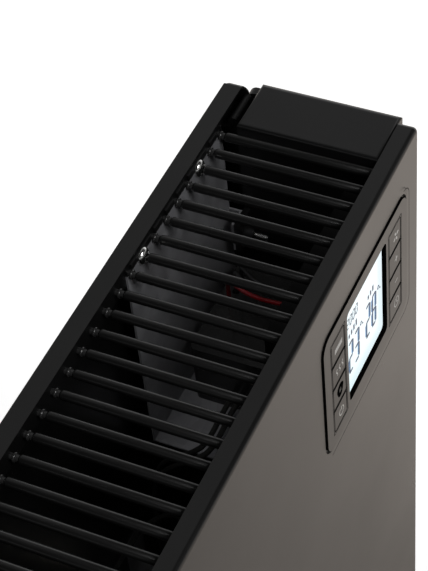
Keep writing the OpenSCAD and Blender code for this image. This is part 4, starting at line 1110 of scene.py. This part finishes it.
class HEATER_OT_controller(bpy.types.Operator):
    """Board, switches, plug, tilt switch and cover behind the control panel"""
    bl_idname = "heater.controller"
    bl_label = "Controller"

    def execute(self, context):
        black = switch_plastic()
        nylon = skin_material("white_plastic", (0.72, 0.70, 0.61), 0.45, 900.0, 0.00002, wear=0.0)
        dull = skin_material("cover_plastic", (0.0035, 0.0035, 0.0035), 0.55, 700.0, 0.00004,
                             wear=0.0, dust=0.0, specular=0.2)
        dressed("control_board", board_material(), "board_laminate", 0.0001)
        dressed("key_switches", black, "switch_plastic", 0.00012)
        dressed("tilt_switch", black, "switch_plastic", 0.00012)
        dressed("lead_plug", nylon, "white_plastic", 0.0002)
        dressed("terminal_block", nylon, "white_plastic", 0.0003)
        dressed("controller_cover", dull, "housing_plastic", 0.0004)
        return {"FINISHED"}


class HEATER_OT_power_unit(bpy.types.Operator):
    """Closed power unit that stands on the shelf"""
    bl_idname = "heater.power_unit"
    bl_label = "Power unit"

    def execute(self, context):
        for node in ("power_unit", "power_unit_lid"):
            dressed(node, housing(), "housing_plastic", 0.0005)
        return {"FINISHED"}


class HEATER_OT_leads(bpy.types.Operator):
    """Leads between the power unit, the board, the element, the blower and the terminals"""
    bl_idname = "heater.leads"
    bl_label = "Leads"

    def execute(self, context):
        glass = braid_material("glass_sleeve", (0.02, 0.02, 0.019))
        for node, material, slot in (
                # The lead's red is its own colour, made darker as painted shade of the dim interior it runs
                # through
                ("red_lead", sleeve_material("red_sleeve", (0.11, 0.002, 0.004)), "red_sleeve"),
                ("black_leads", sleeve_material("black_sleeve", (0.012, 0.012, 0.012)), "black_sleeve"),
                ("mains_leads", sleeve_material("mains_sleeve", (0.012, 0.012, 0.013)), "mains_sleeve"),
                ("earth_lead", sleeve_material("earth_sleeve", (0.16, 0.3, 0.02)), "earth_sleeve"),
                ("element_leads", glass, "glass_sleeve"),
                ("motor_leads", glass, "glass_sleeve")):
            piece = dressed(node, material, slot)
            piece.modifiers.clear()
            rounder = piece.modifiers.new("Rounder", "SUBSURF")
            rounder.levels = rounder.render_levels = 1
        return {"FINISHED"}


class HEATER_OT_heating_element(bpy.types.Operator):
    """Finned aluminium element with its sheath, insulators, carriers and cut-out"""
    bl_idname = "heater.heating_element"
    bl_label = "Heating element"

    def execute(self, context):
        aluminium = metal_material("element_aluminium", (0.62, 0.62, 0.63), 0.38, 1100.0, 0.02, tarnish=0.35)
        sheath = metal_material("sheath_steel", (0.36, 0.33, 0.30), 0.4, 1500.0, 0.05, tarnish=0.5)
        dressed("heating_element", aluminium, "element_aluminium", 0.00015)
        dressed("element_sheath", sheath, "sheath_steel", 0.0003)
        dressed("element_insulators", ceramic_material(), "ceramic", 0.0003)
        dressed("element_carriers", zinc_sheet(), "zinc_sheet", 0.00015)
        dressed("thermal_cutout", switch_plastic(), "switch_plastic", 0.0003)
        return {"FINISHED"}


class HEATER_OT_blower(bpy.types.Operator):
    """Tangential blower: guide, wheel with curved blades, shaft, bush and motor"""
    bl_idname = "heater.blower"
    bl_label = "Blower"

    def execute(self, context):
        dressed("blower_housing", zinc_sheet(), "zinc_sheet", 0.00015)
        self.wheel(metal_material("wheel_metal", (0.55, 0.55, 0.56), 0.35, 1500.0, 0.04))
        shaft = metal_material("shaft_steel", (0.62, 0.62, 0.62), 0.22, 1800.0, 0.03)
        rubber = skin_material("bush_rubber", (0.012, 0.012, 0.012), 0.6, 700.0, 0.00005, wear=0.0)
        steel = metal_material("motor_steel", (0.34, 0.34, 0.35), 0.45, 1300.0, 0.08, tarnish=0.5)
        tape = skin_material("coil_tape", (0.42, 0.16, 0.04), 0.4, 600.0, 0.00005, wear=0.0)
        dressed("blower_shaft", shaft, "shaft_steel", 0.0003, "blower_rotor")
        dressed("blower_bush", rubber, "bush_rubber", 0.0003)
        dressed("blower_motor", steel, "motor_steel", 0.0003)
        dressed("motor_coil", tape, "coil_tape", 0.0004)
        return {"FINISHED"}

    def wheel(self, finish):
        """The wheel's blades are copies of one curved strip, and its discs are turned."""
        radius = (WHEEL_HIGH.z - WHEEL_LOW.z) / 2
        length = WHEEL_HIGH.x - WHEEL_LOW.x
        middle = (WHEEL_LOW + WHEEL_HIGH) / 2
        blades = grown("blower_blades", wheel_tree(), [], {
            "Form": self.blade(radius, length), "Count": 24, "Middle": tuple(middle), "Finish": finish},
            "blower_rotor", "wheel_metal")
        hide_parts("blower_wheel")
        shaft_low, shaft_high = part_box("blower_shaft")
        hub = (shaft_high.z - shaft_low.z) / 2
        bore, disc_t, soft = hub + 0.00002, 0.0015, 0.0002
        profile = [(0.0, bore), (0.0, hub + 0.0012), (0.0004, hub + 0.0022), (0.0004, radius * 0.45),
                   (0.0, radius * 0.52), (0.0, radius - soft), (soft, radius), (disc_t - soft, radius),
                   (disc_t, radius - soft), (disc_t, bore), (0.0, bore)]
        discs = grown("blower_discs", row_tree(), [], {
            "Form": linked("disc_form", revolved("disc_form", profile, 64, (1.0, 0.0, 0.0))),
            "Count": 3, "First place": (WHEEL_LOW.x, middle.y, middle.z),
            "Step": ((length - disc_t) / 2, 0.0, 0.0), "Finish": finish}, "blower_rotor", "wheel_metal")
        closed = bmesh.new()
        closed.from_mesh(discs.data)
        bmesh.ops.remove_doubles(closed, verts=closed.verts, dist=0.000001)
        bmesh.ops.recalc_face_normals(closed, faces=closed.faces)
        closed.to_mesh(discs.data)
        closed.free()

    def blade(self, radius, length):
        """One curved blade beside the wheel's axis."""
        thick, inner, outer = 0.0005, radius - 0.0066, radius - 0.0004
        sweep, steps = math.radians(16.0), 5
        work = bmesh.new()
        sides = ([], [])
        for k in range(steps + 1):
            reach = inner + (outer - inner) * k / steps
            swing = sweep * (k / steps) ** 2
            for verts, side in zip(sides, (-1.0, 1.0)):
                y = reach * math.cos(swing) - side * thick / 2 * math.sin(swing)
                z = reach * math.sin(swing) + side * thick / 2 * math.cos(swing)
                verts.append([work.verts.new((x, y, z)) for x in (0.0002 - length / 2, length / 2 - 0.0002)])
        loop = sides[0] + sides[1][::-1]
        for a, b in zip(loop, loop[1:] + loop[:1]):
            work.faces.new((a[0], b[0], b[1], a[1]))
        work.faces.new([v[0] for v in loop])
        work.faces.new([v[1] for v in loop])
        bmesh.ops.recalc_face_normals(work, faces=work.faces)
        mark_sharp(work, 40.0)
        return linked("blade_form", finished_mesh(work, "blade_form"))


class HEATER_OT_mains_entry(bpy.types.Operator):
    """Cord gland with its nut and the earth screw"""
    bl_idname = "heater.mains_entry"
    bl_label = "Mains entry"

    def execute(self, context):
        for node in ("cord_gland", "gland_nut"):
            dressed(node, housing(), "housing_plastic", 0.0004)
        brass = metal_material("brass_screw", (0.72, 0.58, 0.28), 0.3, 1800.0, 0.5)
        dressed("earth_screw", brass, "brass_screw", 0.0002)
        return {"FINISHED"}


class HEATER_OT_feet(bpy.types.Operator):
    """Two feet with their rubber pads"""
    bl_idname = "heater.feet"
    bl_label = "Feet"

    def execute(self, context):
        finish = skin_material("foot_plastic", tuple(context.scene.heater_case.moulding), 0.42, 1900.0,
                               0.00003, wear=0.5, dust=0.08)
        for node in ("foot_left", "foot_right"):
            dressed(node, finish, "foot_plastic", 0.0012)
        rubber = skin_material("pad_rubber", (0.014, 0.014, 0.014), 0.7, 800.0, 0.00006, wear=0.0)
        dressed("foot_pads", rubber, "pad_rubber", 0.0006)
        return {"FINISHED"}


class HEATER_OT_studio(bpy.types.Operator):
    """Pale floor, soft light and the camera at the photograph's angle"""
    bl_idname = "heater.studio"
    bl_label = "Studio"

    def execute(self, context):
        look = context.scene.heater_studio
        context.scene.view_settings.view_transform = "Standard"
        self.floor()
        self.room_light(context, look)
        self.lamp("key_light", look.key_power, (-0.35, -1.7, 2.0))
        top = self.lamp("top_light", look.top_power, (-0.45, 0.0, 2.6))
        top.visible_glossy = False
        self.camera(context, look)
        return {"FINISHED"}

    def floor(self):
        """A wide pale floor that keeps the object's shadow and looks warm in mirrors."""
        work = bmesh.new()
        bmesh.ops.create_grid(work, x_segments=1, y_segments=1, size=12.0)
        bmesh.ops.translate(work, vec=(0.0, 0.0, CASE_LOW.z - 0.0002), verts=work.verts)
        floor = linked("studio_floor", finished_mesh(work, "studio_floor"))
        material = bpy.data.materials.new("floor_paper")
        material.use_nodes = True
        tree = material.node_tree
        tree.nodes.clear()
        path = tree.nodes.new("ShaderNodeLightPath").outputs
        mirrored = path["Is Glossy Ray"]
        paper = added(tree, "ShaderNodeBsdfDiffuse", {
            "Color": colour_mix(tree, mirrored, (0.82, 0.82, 0.82), (0.58, 0.525, 0.476))})
        rising = ranged(tree, split(tree, object_place(tree))["X"], 0.3, 0.7, 0.0, 0.5)
        straight = math_node(tree, "MAXIMUM", path["Is Camera Ray"], path["Is Transmission Ray"])
        glow = added(tree, "ShaderNodeEmission", {
            "Color": colour_mix(tree, mirrored, (1.0, 1.0, 1.0), (1.0, 0.905, 0.82)),
            "Strength": plus(tree, times(tree, straight, 0.6), times(tree, mirrored, rising))})
        both = added(tree, "ShaderNodeAddShader", {0: paper.outputs["BSDF"], 1: glow.outputs["Emission"]})
        added(tree, "ShaderNodeOutputMaterial", {"Surface": both.outputs["Shader"]})
        floor.data.materials.append(material)

    def room_light(self, context, look):
        """Dim room light; mirrors see a pale horizon and a grey ceiling beyond the right end."""
        world = bpy.data.worlds.new("studio_room")
        context.scene.world = world
        world.use_nodes = True
        tree = world.node_tree
        tree.nodes.clear()
        path = tree.nodes.new("ShaderNodeLightPath").outputs
        part = split(tree, tree.nodes.new("ShaderNodeTexCoord").outputs["Generated"])
        beyond = ranged(tree, part["Y"], -0.1, 0.25, 0.0, 1.0)
        aside = ranged(tree, part["X"], -0.4, 0.5, 0.0, 1.0)
        above = ranged(tree, part["Z"], 0.1, 0.34, 0.0, 0.33)
        ceiling = times(tree, times(tree, beyond, aside), above)
        horizon = ranged(tree, part["Z"], 0.02, 0.34, 0.85, 0.01)
        right = ranged(tree, part["X"], 0.72, 0.94, 0.0, 0.9)
        mirrored = plus(tree, plus(tree, ceiling, right), horizon)
        seen = math_node(tree, "MAXIMUM", path["Is Camera Ray"], path["Is Transmission Ray"])
        other = math_node(tree, "SUBTRACT", 1.0, math_node(tree, "MAXIMUM", seen, path["Is Glossy Ray"]))
        glossy = times(tree, path["Is Glossy Ray"], mirrored)
        background = added(tree, "ShaderNodeBackground", {
            "Strength": plus(tree, plus(tree, glossy, seen), times(tree, other, look.sky))})
        added(tree, "ShaderNodeOutputWorld", {"Surface": background.outputs["Background"]})

    def lamp(self, name, power, place):
        """A square soft light of one metre, aimed at the heater's right part."""
        data = bpy.data.lights.new(name, "AREA")
        data.energy = power
        data.shape = "SQUARE"
        data.size = 1.0
        lamp = linked(name, data)
        lamp.location = place
        lamp.rotation_euler = (Vector((0.15, 0.0, 0.35)) - Vector(place)).to_track_quat("-Z", "Y").to_euler()
        return lamp

    def camera(self, context, look):
        """The camera as solved from the photograph's edges."""
        data = bpy.data.cameras.new("photo_camera")
        data.sensor_width = 36.0
        data.lens = look.lens
        data.shift_x, data.shift_y = look.shift
        data.clip_start = 0.01
        camera = linked("photo_camera", data)
        camera.location = look.eye
        camera.rotation_euler = look.turn
        context.scene.camera = camera


class HEATER_PT_panel(bpy.types.Panel):
    """Lists the heater's pieces in the sidebar"""
    bl_idname = "HEATER_PT_panel"
    bl_label = "Heater"
    bl_space_type = "VIEW_3D"
    bl_region_type = "UI"
    bl_category = "Heater"

    def draw(self, context):
        for operator in OPERATORS:
            self.layout.operator(operator.bl_idname)
        for name in GROUPS:
            box = self.layout.box()
            group = getattr(context.scene, name)
            for field in group.bl_rna.properties:
                if field.identifier not in ("name", "rna_type"):
                    box.prop(group, field.identifier)


OPERATORS = (
    HEATER_OT_pressed_panels,
    HEATER_OT_side_panels,
    HEATER_OT_outlet_bars,
    HEATER_OT_screws,
    HEATER_OT_shield,
    HEATER_OT_control_fascia,
    HEATER_OT_display,
    HEATER_OT_keys,
    HEATER_OT_controller,
    HEATER_OT_power_unit,
    HEATER_OT_leads,
    HEATER_OT_heating_element,
    HEATER_OT_blower,
    HEATER_OT_mains_entry,
    HEATER_OT_feet,
    HEATER_OT_studio,
)
GROUPS = {
    "heater_case": CaseLook,
    "heater_outlet": OutletLook,
    "heater_control": ControlLook,
    "heater_studio": StudioLook,
}


def register():
    """Registers the property groups, the operators and the panel."""
    for name, group in GROUPS.items():
        bpy.utils.register_class(group)
        setattr(bpy.types.Scene, name, bpy.props.PointerProperty(type=group))
    for operator in OPERATORS:
        bpy.utils.register_class(operator)
    bpy.utils.register_class(HEATER_PT_panel)


def unregister():
    """Removes what register added."""
    bpy.utils.unregister_class(HEATER_PT_panel)
    for operator in reversed(OPERATORS):
        bpy.utils.unregister_class(operator)
    for name, group in reversed(GROUPS.items()):
        delattr(bpy.types.Scene, name)
        bpy.utils.unregister_class(group)


def main():
    """Makes every piece and the studio."""
    register()
    for operator in OPERATORS:
        category, name = operator.bl_idname.split(".")
        getattr(getattr(bpy.ops, category), name)()


if __name__ == "__main__":
    main()
